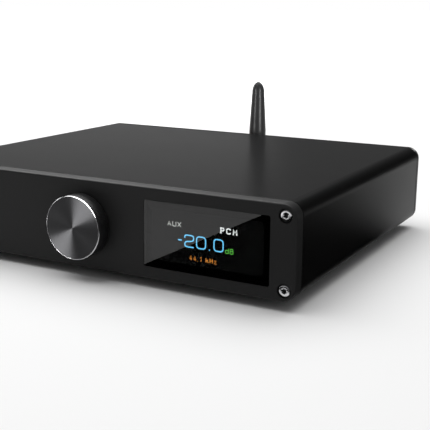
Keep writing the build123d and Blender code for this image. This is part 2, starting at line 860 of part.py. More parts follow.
# ---- digital, power and switch ----
def optical_socket():
    start = sleeve_end - optical_depth
    body = block(optical_x, start, board_top, optical_size, rear_y + optical_lip - start, optical_size)
    body = body - block(optical_x, sleeve_end - optical_bore_depth, optical_z - optical_port / 2,
                        optical_port, 12, optical_port)
    return body - shutter_axle(shutter_axle_radius + running_gap, optical_port + 1.6)


def shutter_axle(radius, length):
    axle_z = optical_z + optical_port / 2 - shutter_drop
    return Pos(optical_x, rear_y - shutter_setback, axle_z) * Rot(0, 90, 0) * Cylinder(radius, length)


def optical_shutter():
    size = optical_port - 2 * moving_gap
    flap = block(optical_x, rear_y - shutter_setback - shutter_thickness / 2, optical_z - size / 2,
                 size, shutter_thickness, size - 0.1)
    return flap + shutter_axle(shutter_axle_radius, optical_port + 1.2)


def data_shell():
    start = sleeve_end - data_depth
    body = block(data_x, start, board_top, data_width, rear_y + data_lip - start,
                 data_height)
    return body - block(data_x, start + data_wall, board_top + data_wall,
                        data_width - 2 * data_wall, 30, data_height - 2 * data_wall)


def data_tongue():
    start = sleeve_end - data_depth + data_wall
    base = block(data_x, start, board_top + data_wall, data_width - 2 * data_wall, tongue_base,
                 data_height - 2 * data_wall)
    return base + block(data_x, start + 1.5, data_z - tongue_height / 2, tongue_width,
                        rear_y - 1 - start - 1.5, tongue_height)


def power_inlet():
    body = block(power_x, sleeve_end - power_body_depth, board_top, power_body_width, power_body_depth,
                 power_body_height)
    body = body + rod(power_x, sleeve_end - 0.5, power_z, power_collar_radius, rear_thickness + 1.0)
    return body - rod(power_x, sleeve_end - power_bore_depth, power_z, power_bore_radius, 20)


def power_pin():
    start = sleeve_end - power_bore_depth
    pin = rod(power_x, start, power_z, power_pin_radius, rear_y - 0.5 - start)
    return fillet(end_edges(pin, rear_y - 0.5), power_pin_edge)


def rocker_axle(radius, length):
    return Pos(switch_x, rocker_pivot_y(), mid_z) * Rot(0, 90, 0) * Cylinder(radius, length)


def rocker_pivot_y():
    return rear_y - rocker_setback


def switch_housing():
    flange = slab(switch_x, rear_y, mid_z, switch_width + 2 * switch_flange,
                  switch_height + 2 * switch_flange, switch_flange_thickness, 0.8)
    body = slab(switch_x, sleeve_end - switch_depth, mid_z, switch_width, switch_height,
                switch_depth + rear_thickness, 0.2)
    cavity = slab(switch_x, sleeve_end - switch_cavity_depth, mid_z, switch_width - 2 * switch_wall,
                  switch_height - 2 * switch_wall, 10, 0.4)
    return flange + body - cavity - rocker_axle(rocker_axle_radius + running_gap, switch_width + 2)


def power_rocker():
    """Rocker standing tipped, with its upper end out; it turns about X."""
    pivot_y = rocker_pivot_y()
    width = switch_width - 2 * switch_wall - 2 * moving_gap
    half = switch_height / 2 - switch_wall - moving_gap - 0.2
    with BuildPart() as rocker:
        with BuildSketch(Plane.YZ):
            with BuildLine():
                Polyline((pivot_y - 2.0, mid_z - 1.4), (pivot_y - 2.0, mid_z + 1.4),
                         (pivot_y + 0.9, mid_z + half - 0.2), (pivot_y + 3.0, mid_z + half - 0.5))
                ThreePointArc((pivot_y + 3.0, mid_z + half - 0.5), (pivot_y + 2.0, mid_z),
                              (pivot_y + 3.0, mid_z - half + 0.5))
                Polyline((pivot_y + 3.0, mid_z - half + 0.5), (pivot_y + 0.9, mid_z - half + 0.2),
                         (pivot_y - 2.0, mid_z - 1.4))
            make_face()
        extrude(amount=width / 2, both=True)
    placed = Pos(switch_x, 0, 0) * rocker.part + rocker_axle(rocker_axle_radius, switch_width)
    return placed.rotate(Axis((switch_x, pivot_y, mid_z), (1, 0, 0)), -switch_tilt)


# ---- speaker posts ----
def post_studs():
    studs = []
    for x, z in post_spots:
        start = sleeve_end - post_stub
        stud = rod(x, start, z, post_stud_radius, rear_y + post_reach - 2.0 - start)
        stud = stud - rod(x, rear_y + 1.0, z, banana_radius, post_reach)
        studs.append(stud)
    return pieces(*studs)


def post_base_group(side):
    bases = []
    for x, z in post_spots:
        if (x - post_x) * side < 0:
            continue
        flange = rod(x, rear_y, z, post_radius + 0.5, post_base_thickness)
        sleeve = rod(x, sleeve_end + 0.2, z, post_stud_radius + post_collar, rear_thickness - 0.2)
        bases.append(flange + sleeve - rod(x, sleeve_end - 1, z, post_stud_radius + thread_gap, 9))
    return pieces(*bases)


def post_nuts():
    nuts = []
    for x, z in post_spots:
        nut = prism_y(x, sleeve_end - post_nut_thickness, z, 6, post_nut_radius, post_nut_thickness)
        nuts.append(nut - rod(x, sleeve_end - 4, z, post_stud_radius + thread_gap, 6))
    return pieces(*nuts)


def thumb_nut(x, z):
    """Fluted thumb nut that clamps a bare wire or lets a plug in at its end."""
    start = rear_y + post_base_thickness + moving_gap
    length = post_reach - post_base_thickness - moving_gap
    nut = rod(x, start, z, post_radius, length)
    nut = chamfer(end_edges(nut, start) + end_edges(nut, start + length), thumb_chamfer)
    for step in range(thumb_flutes):
        angle = 2 * math.pi * step / thumb_flutes
        spot_x = x + (post_radius + thumb_flute_offset) * math.cos(angle)
        spot_z = z + (post_radius + thumb_flute_offset) * math.sin(angle)
        nut = nut - rod(spot_x, start + thumb_flute_foot, spot_z, thumb_flute_radius, length)
    nut = nut - rod(x, start - 1, z, post_stud_radius + running_gap, 1 + length - thumb_cap)
    return nut - rod(x, start, z, banana_radius + banana_gap, length + 1)


# ---- write every node ----
nodes = {
    "case_sleeve": case_sleeve(),
    "front_panel": front_panel(),
    "rear_panel": rear_panel(),
    "front_screws": front_screws(),
    "rear_screws": rear_screws(),
    "rubber_feet": rubber_feet(),
    "foot_screws": foot_screws(),
    "display_glass": display_glass(),
    "display_gasket": display_gasket(),
    "display_panel": display_panel(),
    "front_board": front_board(),
    "front_board_spacers": front_board_spacers(),
    "front_board_screws": front_board_screws(),
    "infrared_receiver": infrared_receiver(),
    "encoder_body": encoder_body(),
    "encoder_washer": encoder_washer(),
    "encoder_nut": encoder_nut(),
    "encoder_shaft": encoder_shaft(),
    "press_plunger": press_plunger(),
    "knob": knob(),
    "knob_screw": knob_screw(),
    "headphone_socket": headphone_socket(),
    "headphone_ring": headphone_ring(),
    "main_board": main_board(),
    "amplifier_chip": amplifier_chip(),
    "heat_spreader": heat_spreader(),
    "capacitors": capacitors(),
    "output_inductors": output_inductors(),
    "logic_chips": logic_chips(),
    "wireless_module": wireless_module(),
    "ribbon_headers": ribbon_headers(),
    "ribbon_cable": ribbon_cable(),
    "antenna_socket": antenna_socket(),
    "antenna_nut": antenna_nut(),
    "antenna_lead": antenna_lead(),
    "antenna_elbow": antenna_elbow(),
    "antenna_pin": antenna_pin(),
    "antenna_mast": antenna_mast(),
    "line_in_housing": phono_housing(line_in_x),
    "line_in_sleeves": phono_sleeves(line_in_x),
    "line_in_contacts": phono_contacts(line_in_x),
    "digital_housing": phono_housing(digital_x),
    "digital_sleeves": phono_sleeves(digital_x),
    "digital_contacts": phono_contacts(digital_x),
    "optical_socket": optical_socket(),
    "optical_shutter": optical_shutter(),
    "data_shell": data_shell(),
    "data_tongue": data_tongue(),
    "power_inlet": power_inlet(),
    "power_pin": power_pin(),
    "switch_housing": switch_housing(),
    "power_rocker": power_rocker(),
    "post_studs": post_studs(),
    "black_post_bases": post_base_group(-1),
    "red_post_bases": post_base_group(1),
    "post_nuts": post_nuts(),
}
for number, (spot_x, spot_z) in enumerate(post_spots, start=1):
    nodes[f"thumb_nut_{number}"] = thumb_nut(spot_x, spot_z)

os.makedirs("parts", exist_ok=True)
for name, solid in nodes.items():
    export_step(solid, os.path.join("parts", name + ".step"))
print(len(nodes), "nodes written")
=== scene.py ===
import json
import math
import bmesh
import bpy
from mathutils import Matrix, Vector


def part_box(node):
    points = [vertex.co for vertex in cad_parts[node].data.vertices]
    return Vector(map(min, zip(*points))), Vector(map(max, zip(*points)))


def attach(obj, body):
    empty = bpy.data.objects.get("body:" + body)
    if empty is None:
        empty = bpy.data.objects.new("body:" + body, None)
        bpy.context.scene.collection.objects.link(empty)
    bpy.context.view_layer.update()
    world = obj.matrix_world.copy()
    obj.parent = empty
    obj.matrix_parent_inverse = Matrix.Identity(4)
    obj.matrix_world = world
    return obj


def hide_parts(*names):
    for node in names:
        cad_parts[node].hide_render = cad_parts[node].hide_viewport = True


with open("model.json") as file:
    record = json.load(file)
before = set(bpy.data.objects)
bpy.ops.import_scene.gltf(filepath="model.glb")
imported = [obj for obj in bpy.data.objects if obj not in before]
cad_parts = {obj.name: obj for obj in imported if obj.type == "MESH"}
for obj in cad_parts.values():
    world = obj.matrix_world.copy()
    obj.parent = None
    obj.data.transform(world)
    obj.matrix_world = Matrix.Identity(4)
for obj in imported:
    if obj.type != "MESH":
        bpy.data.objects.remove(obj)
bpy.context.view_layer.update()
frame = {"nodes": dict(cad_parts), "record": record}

mm = 0.001
nodes = frame["nodes"]
plateLow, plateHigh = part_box("front_panel")
rearLow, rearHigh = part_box("rear_panel")
knobLow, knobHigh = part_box("knob")
rearReach = 12 * mm  # a node that starts no further than this inside the rear plate is at the back
rearNames = tuple(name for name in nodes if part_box(name)[0].y > rearLow.y - rearReach)


# stage
cameraView = {
    "fromPlate": (219.6, -289.4, 108.3),  # mm from the middle of the front plate's lower edge
    "yaw": 28.54,  # degrees to the left of straight ahead
    "pitch": 13.31,  # degrees down
    "roll": 0.49,
    "lens": 73.9,
    "sensor": 36.0,
    "clip": (0.01, 100.0),  # metres
}

studio = {
    "floorHalf": 30.0,  # metres
    "floorTone": 0.86,
    "floorRoughness": 0.9,
    "floorGlowFrom": 0.30,  # metres from the middle where the paper starts to turn plain white
    "floorGlowTo": 0.75,
    "backdropGlow": 1.0,
    "mirrorFill": 0.05,
    "softFill": 0.25,
    "softboxes": [
        # name, place in mm from the plate's foot, size mm, aimed at, power, the only nodes it lights
        ("overheadBox", (-160, 200, 900), (1500, 1200), (0, 60, 0), 13.5, ()),
        ("backBox", (-900, 2050, 190), (1900, 220), (0, 60, 20), 0.60, ()),
        ("leftBox", (-1300, 250, 330), (600, 460), (0, 60, 20), 2.6, ()),
        ("rimBox", (-800, 820, 850), (800, 420), (0, 0, 40), 8.0, ("front_panel",)),
        ("sheenBox", (-1500, 1900, 235), (1300, 260), (-40, 100, 38), 1.15, ("case_sleeve",)),
        ("topBox", (-900, 1000, 850), (900, 600), (0, 60, 38), 0.2, ("case_sleeve",)),
        ("rearBox", (500, 1500, 800), (1100, 800), (0, 220, 20), 16.0, rearNames),
        ("mastLeftStrip", (-380, -740, 90), (110, 420), (-4, 170, 55), 7.5, ("antenna_mast",)),
        ("mastRightStrip", (760, -240, 90), (110, 420), (-4, 170, 55), 11.0, ("antenna_mast",)),
    ],
    # the knob's face shows this box as two bright wedges; one edge points at the mirror direction
    "wedgeBox": {"distance": 1000, "from": 0.33, "to": 1.60, "height": 1.60, "tilt": 27,
                 "knobHeight": 19, "power": 118.0},
    # dark cards that only reflections see, as (x, y) corners in mm on the floor, y from the plate
    "frontFlag": [(12.2, -20), (17.6, -170), (130, -170), (130, -20)],
    "sideFlag": [(97, -300), (900, -300), (900, 560), (170, 311), (97, 118)],
    "wallFlag": [(420, -500), (420, 900)],  # upright cards on these floor lines
    "backFlag": [(165, 520), (1500, 520)],
    "flagHeight": 700,
    "flagLift": 0.6,  # the flat cards' height over the floor
    "flagFoot": 1.0,  # the upright cards' lower edge
    "flagTone": 0.003,
}


def atPlate(x, y, z):
    # mm from the middle of the front plate's lower edge, at the plate's face
    return Vector((x * mm, plateLow.y + y * mm, plateLow.z + z * mm))


def linkObject(name, data):
    obj = bpy.data.objects.new(name, data)
    bpy.context.scene.collection.objects.link(obj)
    return obj


def addCamera():
    data = bpy.data.cameras.new("mainCamera")
    data.lens = cameraView["lens"]
    data.sensor_width = cameraView["sensor"]
    data.clip_start, data.clip_end = cameraView["clip"]
    camera = linkObject("mainCamera", data)
    turn = Matrix.Rotation(math.radians(cameraView["yaw"]), 4, "Z")
    tip = Matrix.Rotation(math.radians(90 - cameraView["pitch"]), 4, "X")
    lean = Matrix.Rotation(math.radians(cameraView["roll"]), 4, "Z")
    place = Matrix.Translation(atPlate(*cameraView["fromPlate"]))
    camera.matrix_world = place @ turn @ tip @ lean
    bpy.context.scene.camera = camera


def addFloor():
    half = studio["floorHalf"]
    mesh = bpy.data.meshes.new("studioFloor")
    corners = [(-half, -half, 0), (half, -half, 0), (half, half, 0), (-half, half, 0)]
    mesh.from_pydata(corners, [], [(0, 1, 2, 3)])
    floor = linkObject("studioFloor", mesh)
    paper = bpy.data.materials.new("studioPaper")
    paper.use_nodes = True
    tree = paper.node_tree
    shader = tree.nodes["Principled BSDF"]
    tone = studio["floorTone"]
    shader.inputs["Base Color"].default_value = (tone, tone, tone, 1)
    shader.inputs["Roughness"].default_value = studio["floorRoughness"]
    shader.inputs["Specular IOR Level"].default_value = 0.0
    shader.inputs["Emission Color"].default_value = (1, 1, 1, 1)
    coords = tree.nodes.new("ShaderNodeTexCoord")
    reach = tree.nodes.new("ShaderNodeVectorMath")
    reach.operation = "LENGTH"
    ramp = tree.nodes.new("ShaderNodeMapRange")
    ramp.interpolation_type = "SMOOTHSTEP"
    ramp.inputs["From Min"].default_value = studio["floorGlowFrom"]
    ramp.inputs["From Max"].default_value = studio["floorGlowTo"]
    rays = tree.nodes.new("ShaderNodeLightPath")
    onlyCamera = tree.nodes.new("ShaderNodeMath")
    onlyCamera.operation = "MULTIPLY"
    tree.links.new(coords.outputs["Object"], reach.inputs[0])
    tree.links.new(reach.outputs["Value"], ramp.inputs["Value"])
    tree.links.new(ramp.outputs["Result"], onlyCamera.inputs[0])
    tree.links.new(rays.outputs["Is Camera Ray"], onlyCamera.inputs[1])
    tree.links.new(onlyCamera.outputs[0], shader.inputs["Emission Strength"])
    mesh.materials.append(paper)


def onFloor(spot, lift):
    # mm on the floor, y from the plate's face
    return Vector((spot[0] * mm, plateLow.y + spot[1] * mm, lift * mm))


def addFlag(name, points):
    mesh = bpy.data.meshes.new(name)
    mesh.from_pydata(points, [], [tuple(range(len(points)))])
    flag = linkObject(name, mesh)
    cloth = bpy.data.materials.new(name + "Cloth")
    cloth.use_nodes = True
    shader = cloth.node_tree.nodes["Principled BSDF"]
    tone = studio["flagTone"]
    shader.inputs["Base Color"].default_value = (tone, tone, tone, 1)
    shader.inputs["Specular IOR Level"].default_value = 0.0
    mesh.materials.append(cloth)
    flag.visible_camera = False
    flag.visible_diffuse = False
    flag.visible_shadow = False
    flag.visible_transmission = False


def addFlags():
    for name in ("frontFlag", "sideFlag"):
        addFlag(name, [onFloor(spot, studio["flagLift"]) for spot in studio[name]])
    for name in ("wallFlag", "backFlag"):
        foot = [onFloor(spot, studio["flagFoot"]) for spot in studio[name]]
        rise = Vector((0, 0, studio["flagHeight"] * mm))
        addFlag(name, [foot[0], foot[1], foot[1] + rise, foot[0] + rise])


def addWorld():
    world = bpy.data.worlds.new("studioWorld")
    bpy.context.scene.world = world
    world.use_nodes = True
    tree = world.node_tree
    tree.nodes.clear()
    rays = tree.nodes.new("ShaderNodeLightPath")
    layers = []
    for strength in (studio["softFill"], studio["mirrorFill"], studio["backdropGlow"]):
        layer = tree.nodes.new("ShaderNodeBackground")
        layer.inputs["Color"].default_value = (1, 1, 1, 1)
        layer.inputs["Strength"].default_value = strength
        layers.append(layer.outputs[0])
    current = layers[0]
    for layer, ray in ((layers[1], "Is Glossy Ray"), (layers[2], "Is Camera Ray")):
        mix = tree.nodes.new("ShaderNodeMixShader")
        tree.links.new(rays.outputs[ray], mix.inputs["Fac"])
        tree.links.new(current, mix.inputs[1])
        tree.links.new(layer, mix.inputs[2])
        current = mix.outputs[0]
    out = tree.nodes.new("ShaderNodeOutputWorld")
    tree.links.new(current, out.inputs["Surface"])


def lightOnly(light, objects):
    chosen = bpy.data.collections.new(light.name + "Targets")
    for obj in objects:
        chosen.objects.link(obj)
    light.light_linking.receiver_collection = chosen


def areaLight(name, width, height, power):
    data = bpy.data.lights.new(name, "AREA")
    data.shape = "RECTANGLE"
    data.size = width
    data.size_y = height
    data.energy = power
    light = linkObject(name, data)
    light.visible_camera = False
    return light


def addSoftbox(name, place, size, aim, power, targets):
    light = areaLight(name, size[0] * mm, size[1] * mm, power)
    light.location = atPlate(*place)
    light.rotation_euler = (atPlate(*aim) - light.location).to_track_quat("-Z", "Y").to_euler()
    if targets:
        lightOnly(light, [nodes[target] for target in targets])


def addWedgeBox():
    # stands in front of the plate, square to it, with its lower edge on a line through the
    # direction in which the camera sees itself mirrored
    box = studio["wedgeBox"]
    knobHeight = box["knobHeight"]
    view = (atPlate(0, 0, knobHeight) - atPlate(*cameraView["fromPlate"])).normalized()
    scale = box["distance"] / abs(view.y)
    tilt = math.radians(box["tilt"])
    along = Vector((math.cos(tilt), 0, math.sin(tilt)))
    across = Vector((-math.sin(tilt), 0, math.cos(tilt)))
    middle = (box["from"] + box["to"]) / 2
    centre = Vector((view.x, -abs(view.y), view.z)) + along * middle + across * box["height"] / 2
    place = centre * scale
    light = areaLight("wedgeBox", (box["to"] - box["from"]) * scale * mm,
                      box["height"] * scale * mm, box["power"])
    axes = Matrix((along, across, Vector((0, -1, 0)))).transposed()
    spot = Matrix.Translation(atPlate(place.x, place.y, place.z + knobHeight))
    light.matrix_world = spot @ axes.to_4x4()
    light.visible_diffuse = False
    return light


addCamera()
addFloor()
addFlags()
addWorld()
for row in studio["softboxes"]:
    addSoftbox(*row)
wedgeBox = addWedgeBox()
bpy.context.scene.view_settings.view_transform = "Standard"
print("stage ready")


# shared shader groups
def newGroup(name, inputs, outputs):
    group = bpy.data.node_groups.new(name, "ShaderNodeTree")
    for label, kind, value in inputs:
        socket = group.interface.new_socket(label, in_out="INPUT", socket_type=kind)
        socket.default_value = value
    for label, kind in outputs:
        group.interface.new_socket(label, in_out="OUTPUT", socket_type=kind)
    start = group.nodes.new("NodeGroupInput")
    end = group.nodes.new("NodeGroupOutput")
    return group, start, end


def mathNode(tree, operation, first, second):
    node = tree.nodes.new("ShaderNodeMath")
    node.operation = operation
    for index, value in enumerate((first, second)):
        if isinstance(value, (int, float)):
            node.inputs[index].default_value = value
        else:
            tree.links.new(value, node.inputs[index])
    return node.outputs[0]


def noiseNode(tree, coords, scale, detail=2.0):
    node = tree.nodes.new("ShaderNodeTexNoise")
    node.inputs["Detail"].default_value = detail
    if isinstance(scale, (int, float)):
        node.inputs["Scale"].default_value = scale
    else:
        tree.links.new(scale, node.inputs["Scale"])
    tree.links.new(coords, node.inputs["Vector"])
    return node.outputs["Fac"]


def multiplyColor(tree, color, factor):
    mix = tree.nodes.new("ShaderNodeVectorMath")
    mix.operation = "SCALE"
    tree.links.new(color, mix.inputs[0])
    tree.links.new(factor, mix.inputs["Scale"])
    return mix.outputs[0]


def vectorNode(tree, operation, first, second=None):
    node = tree.nodes.new("ShaderNodeVectorMath")
    node.operation = operation
    for index, value in enumerate((first, second)):
        if isinstance(value, bpy.types.NodeSocket):
            tree.links.new(value, node.inputs[index])
        elif value is not None:
            node.inputs[index].default_value = value
    return node.outputs[0]


def swing(tree, noise, amount):
    # the noise about zero, as large as amount
    return mathNode(tree, "MULTIPLY", mathNode(tree, "SUBTRACT", noise, 0.5), amount)


def makeSurfaceGrain():
    group, start, end = newGroup(
        "surfaceGrain",
        [("Tint", "NodeSocketColor", (0.5, 0.5, 0.5, 1)), ("Roughness", "NodeSocketFloat", 0.4),
         ("Grain Scale", "NodeSocketFloat", 4000.0), ("Grain Tone", "NodeSocketFloat", 0.1),
         ("Patch Scale", "NodeSocketFloat", 30.0), ("Patch Amount", "NodeSocketFloat", 0.05)],
        [("Color", "NodeSocketColor"), ("Roughness", "NodeSocketFloat"), ("Height", "NodeSocketFloat")])
    coords = group.nodes.new("ShaderNodeTexCoord").outputs["Object"]
    grain = noiseNode(group, coords, start.outputs["Grain Scale"], 3.0)
    patch = noiseNode(group, coords, start.outputs["Patch Scale"], 4.0)
    grainShift = swing(group, grain, start.outputs["Grain Tone"])
    patchShift = swing(group, patch, start.outputs["Patch Amount"])
    factor = mathNode(group, "ADD", mathNode(group, "ADD", grainShift, patchShift), 1.0)
    group.links.new(multiplyColor(group, start.outputs["Tint"], factor), end.inputs["Color"])
    rough = mathNode(group, "ADD", start.outputs["Roughness"], patchShift)
    group.links.new(rough, end.inputs["Roughness"])
    group.links.new(grain, end.inputs["Height"])
    return group


def makeTurnedRings():
    # rings cut by a lathe tool about an axis along Y
    group, start, end = newGroup(
        "turnedRings",
        [("Tint", "NodeSocketColor", (0.5, 0.5, 0.5, 1)), ("Roughness", "NodeSocketFloat", 0.3),
         ("Centre", "NodeSocketVector", (0, 0, 0)), ("Ring Scale", "NodeSocketFloat", 9000.0),
         ("Ring Tone", "NodeSocketFloat", 0.3)],
        [("Color", "NodeSocketColor"), ("Roughness", "NodeSocketFloat"), ("Height", "NodeSocketFloat")])
    coords = group.nodes.new("ShaderNodeTexCoord").outputs["Object"]
    parts = group.nodes.new("ShaderNodeSeparateXYZ")
    group.links.new(vectorNode(group, "SUBTRACT", coords, start.outputs["Centre"]), parts.inputs[0])
    squares = mathNode(group, "ADD", mathNode(group, "POWER", parts.outputs["X"], 2.0),
                       mathNode(group, "POWER", parts.outputs["Z"], 2.0))
    radius = mathNode(group, "SQRT", squares, 0.0)
    line = group.nodes.new("ShaderNodeCombineXYZ")
    group.links.new(radius, line.inputs["X"])
    rings = noiseNode(group, line.outputs[0], start.outputs["Ring Scale"], 2.0)
    ringShift = swing(group, rings, start.outputs["Ring Tone"])
    factor = mathNode(group, "ADD", ringShift, 1.0)
    group.links.new(multiplyColor(group, start.outputs["Tint"], factor), end.inputs["Color"])
    rough = mathNode(group, "ADD", start.outputs["Roughness"],
                     mathNode(group, "MULTIPLY", ringShift, 0.2))
    group.links.new(rough, end.inputs["Roughness"])
    group.links.new(rings, end.inputs["Height"])
    return group


surfaceGrain = makeSurfaceGrain()
turnedRings = makeTurnedRings()


# materials
def newMaterial(name, shaderValues):
    material = bpy.data.materials.new(name)
    material.use_nodes = True
    shader = material.node_tree.nodes["Principled BSDF"]
    for label, value in shaderValues.items():
        shader.inputs[label].default_value = value
    return material, shader


def placeGroup(material, shader, group, values, bumpStrength, bumpDistance):
    tree = material.node_tree
    node = tree.nodes.new("ShaderNodeGroup")
    node.node_tree = group
    for label, value in values.items():
        node.inputs[label].default_value = value
    tree.links.new(node.outputs["Color"], shader.inputs["Base Color"])
    tree.links.new(node.outputs["Roughness"], shader.inputs["Roughness"])
    if bumpStrength > 0:
        bump = tree.nodes.new("ShaderNodeBump")
        bump.inputs["Strength"].default_value = bumpStrength
        bump.inputs["Distance"].default_value = bumpDistance
        tree.links.new(node.outputs["Height"], bump.inputs["Height"])
        tree.links.new(bump.outputs["Normal"], shader.inputs["Normal"])
    return node


def grainMaterial(name, tint, roughness, metallic=0.0, specular=0.5, grainScale=3000.0, grainTone=0.12,
                  patchScale=25.0, patchAmount=0.05, bump=0.08, coat=0.0):
    material, shader = newMaterial(name, {
        "Metallic": metallic, "Specular IOR Level": specular, "Coat Weight": coat})
    placeGroup(material, shader, surfaceGrain, {
        "Tint": (*tint, 1), "Roughness": roughness, "Grain Scale": grainScale,
        "Grain Tone": grainTone, "Patch Scale": patchScale, "Patch Amount": patchAmount},
        bump, grainDepth)
    return material


grainDepth = 0.00004  # metres that a full bump stands for
finishes = {
    "anodisedCase": dict(tint=(0.0055, 0.0055, 0.0056), roughness=0.36, specular=0.12, bump=0.06,
                         patchAmount=0.02),
    "anodisedPlate": dict(tint=(0.02, 0.02, 0.0202), roughness=0.5, specular=0.12, bump=0.08),
    "screwSteel": dict(tint=(0.78, 0.78, 0.80), roughness=0.16, metallic=1.0, bump=0.05),
    "darkScrew": dict(tint=(0.05, 0.05, 0.055), roughness=0.32, metallic=1.0, bump=0.05),
    "brightSteel": dict(tint=(0.62, 0.63, 0.65), roughness=0.3, metallic=1.0, bump=0.06),
    "turnedAluminium": dict(tint=(0.6, 0.6, 0.62), roughness=0.35, metallic=1.0, bump=0.08),
    "darkRing": dict(tint=(0.03, 0.03, 0.031), roughness=0.3, metallic=0.6, bump=0.04),
    "footRubber": dict(tint=(0.012, 0.012, 0.012), roughness=0.75, specular=0.3, bump=0.3),
    "displayBlack": dict(tint=(0.004, 0.004, 0.004), roughness=0.6, specular=0.0, bump=0.0),
    "blackPlastic": dict(tint=(0.015, 0.015, 0.016), roughness=0.5, specular=0.4, bump=0.2),
    "blackGloss": dict(tint=(0.012, 0.012, 0.013), roughness=0.22, specular=0.5, bump=0.04),
    "redGloss": dict(tint=(0.42, 0.012, 0.012), roughness=0.24, specular=0.5, bump=0.04),
    "whitePlastic": dict(tint=(0.7, 0.7, 0.67), roughness=0.45, bump=0.1),
    "orangePlastic": dict(tint=(0.7, 0.22, 0.03), roughness=0.45, bump=0.1),
    "antennaPlastic": dict(tint=(0.02, 0.02, 0.0205), roughness=0.30, specular=0.18, bump=0.12),
    "boardGreen": dict(tint=(0.01, 0.09, 0.03), roughness=0.3, bump=0.1),
    "brassMetal": dict(tint=(0.7, 0.5, 0.2), roughness=0.3, metallic=1.0, bump=0.05),
    "goldPlate": dict(tint=(0.85, 0.6, 0.22), roughness=0.18, metallic=1.0, bump=0.03),
    "capacitorSleeve": dict(tint=(0.01, 0.012, 0.03), roughness=0.28, bump=0.03),
    "ferrite": dict(tint=(0.04, 0.04, 0.043), roughness=0.6, bump=0.3),
}
made = {name: grainMaterial(name, **values) for name, values in finishes.items()}


def makeEdgeBands():
    # 1 on the rounded front edge and on the bevel at the joint, both found by their place along Y
    group, start, end = newGroup(
        "edgeBands",
        [("Front From", "NodeSocketFloat", 0.0), ("Front To", "NodeSocketFloat", 0.0),
         ("Joint From", "NodeSocketFloat", 0.0), ("Joint To", "NodeSocketFloat", 0.0)],
        [("Mask", "NodeSocketFloat")])
    coords = group.nodes.new("ShaderNodeTexCoord").outputs["Object"]
    parts = group.nodes.new("ShaderNodeSeparateXYZ")
    group.links.new(coords, parts.inputs[0])
    bands = []
    for low, high in (("Front From", "Front To"), ("Joint From", "Joint To")):
        over = mathNode(group, "GREATER_THAN", parts.outputs["Y"], start.outputs[low])
        under = mathNode(group, "LESS_THAN", parts.outputs["Y"], start.outputs[high])
        bands.append(mathNode(group, "MULTIPLY", over, under))
    group.links.new(mathNode(group, "ADD", *bands), end.inputs["Mask"])
    return group


def paintEdgeGlints(material, polish):
    # edges made smoother, with a lighter, slightly metallic colour: a painted highlight on the rounded
    # front edge and the joint bevel
    tree = material.node_tree
    shader = tree.nodes["Principled BSDF"]
    bands = tree.nodes.new("ShaderNodeGroup")
    bands.node_tree = edgeBands
    bands.inputs["Front From"].default_value = plateLow.y + polish["start"] * mm
    bands.inputs["Front To"].default_value = plateLow.y + polish["end"] * mm
    bands.inputs["Joint From"].default_value = plateHigh.y - polish["joint"] * mm
    bands.inputs["Joint To"].default_value = plateHigh.y + polish["past"] * mm
    shine = mathNode(tree, "MULTIPLY", bands.outputs["Mask"], polish["metal"])
    tree.links.new(shine, shader.inputs["Metallic"])
    for label, factor in (("Roughness", polish["smoother"]), ("Base Color", polish["lighter"])):
        old = shader.inputs[label].links[0].from_socket
        change = mathNode(tree, "ADD", mathNode(tree, "MULTIPLY", bands.outputs["Mask"], factor - 1), 1.0)
        if label == "Roughness":
            tree.links.new(mathNode(tree, "MULTIPLY", old, change), shader.inputs[label])
        else:
            tree.links.new(multiplyColor(tree, old, change), shader.inputs[label])


# bands on the plate's edges that get a painted highlight: lighter, slightly metallic and smoother
plateEdgeGlints = {
    "start": 0.10,  # mm behind the face, where the rounded edge begins
    "end": 0.72,
    "joint": 0.28,  # mm in front of the plate's back, where the bevel begins
    "past": 1.0,
    "metal": 0.08,
    "smoother": 0.75,
    "lighter": 1.3,
}
edgeBands = makeEdgeBands()
paintEdgeGlints(made["anodisedPlate"], plateEdgeGlints)


def darkGlass():
    # smoked glass: only a tenth of the light gets through
    material, shader = newMaterial("darkGlass", {
        "Roughness": 0.0, "IOR": 1.5, "Transmission Weight": 1.0, "Metallic": 0.0})
    placeGroup(material, shader, surfaceGrain, {
        "Tint": (0.07, 0.074, 0.073, 1), "Roughness": 0.0, "Grain Scale": 900.0,
        "Grain Tone": 0.04, "Patch Scale": 20.0, "Patch Amount": 0.0}, 0, 0)
    material.node_tree.links.remove(shader.inputs["Roughness"].links[0])
    shader.inputs["Roughness"].default_value = 0.0
    return material


made["darkGlass"] = darkGlass()

made["spunAluminium"] = made["turnedAluminium"]


def finishOf(slot):
    # the slot "dark_ring" takes the finish "darkRing"
    first, *rest = slot.split("_")
    return made[first + "".join(word.capitalize() for word in rest)]


for row in frame["record"]["subparts"]:
    nodeMesh = nodes[row["node"]].data
    nodeMesh.materials.clear()
    nodeMesh.materials.append(finishOf(row["material_slot"]))
print("materials ready")


# mesh helpers
def ringOf(build, centre, along, radius, steps, wave=0.0, lobes=6):
    # a ring about an axis along Y, drawn in by wave between its lobes; radius 0 gives one point
    if radius == 0:
        return [build.verts.new((centre.x, along, centre.z))]
    ring = []
    for step in range(steps):
        angle = 2 * math.pi * step / steps
        reach = radius - wave * (0.5 - 0.5 * math.cos(lobes * angle))
        ring.append(build.verts.new((centre.x + reach * math.cos(angle), along,
                                     centre.z + reach * math.sin(angle))))
    return ring


def skinRings(build, rings):
    # faces from each ring to the next, as one list for each pair of rings
    bands = []
    for first, second in zip(rings, rings[1:]):
        count = max(len(first), len(second))
        band = []
        for step in range(count):
            after = (step + 1) % count
            corners = [first[step % len(first)], first[after % len(first)],
                       second[after % len(second)], second[step % len(second)]]
            band.append(build.faces.new(list(dict.fromkeys(corners))))
        bands.append(band)
    return bands


def finishedMesh(build, name):
    bmesh.ops.recalc_face_normals(build, faces=build.faces)
    mesh = bpy.data.meshes.new(name)
    build.to_mesh(mesh)
    build.free()
    return mesh


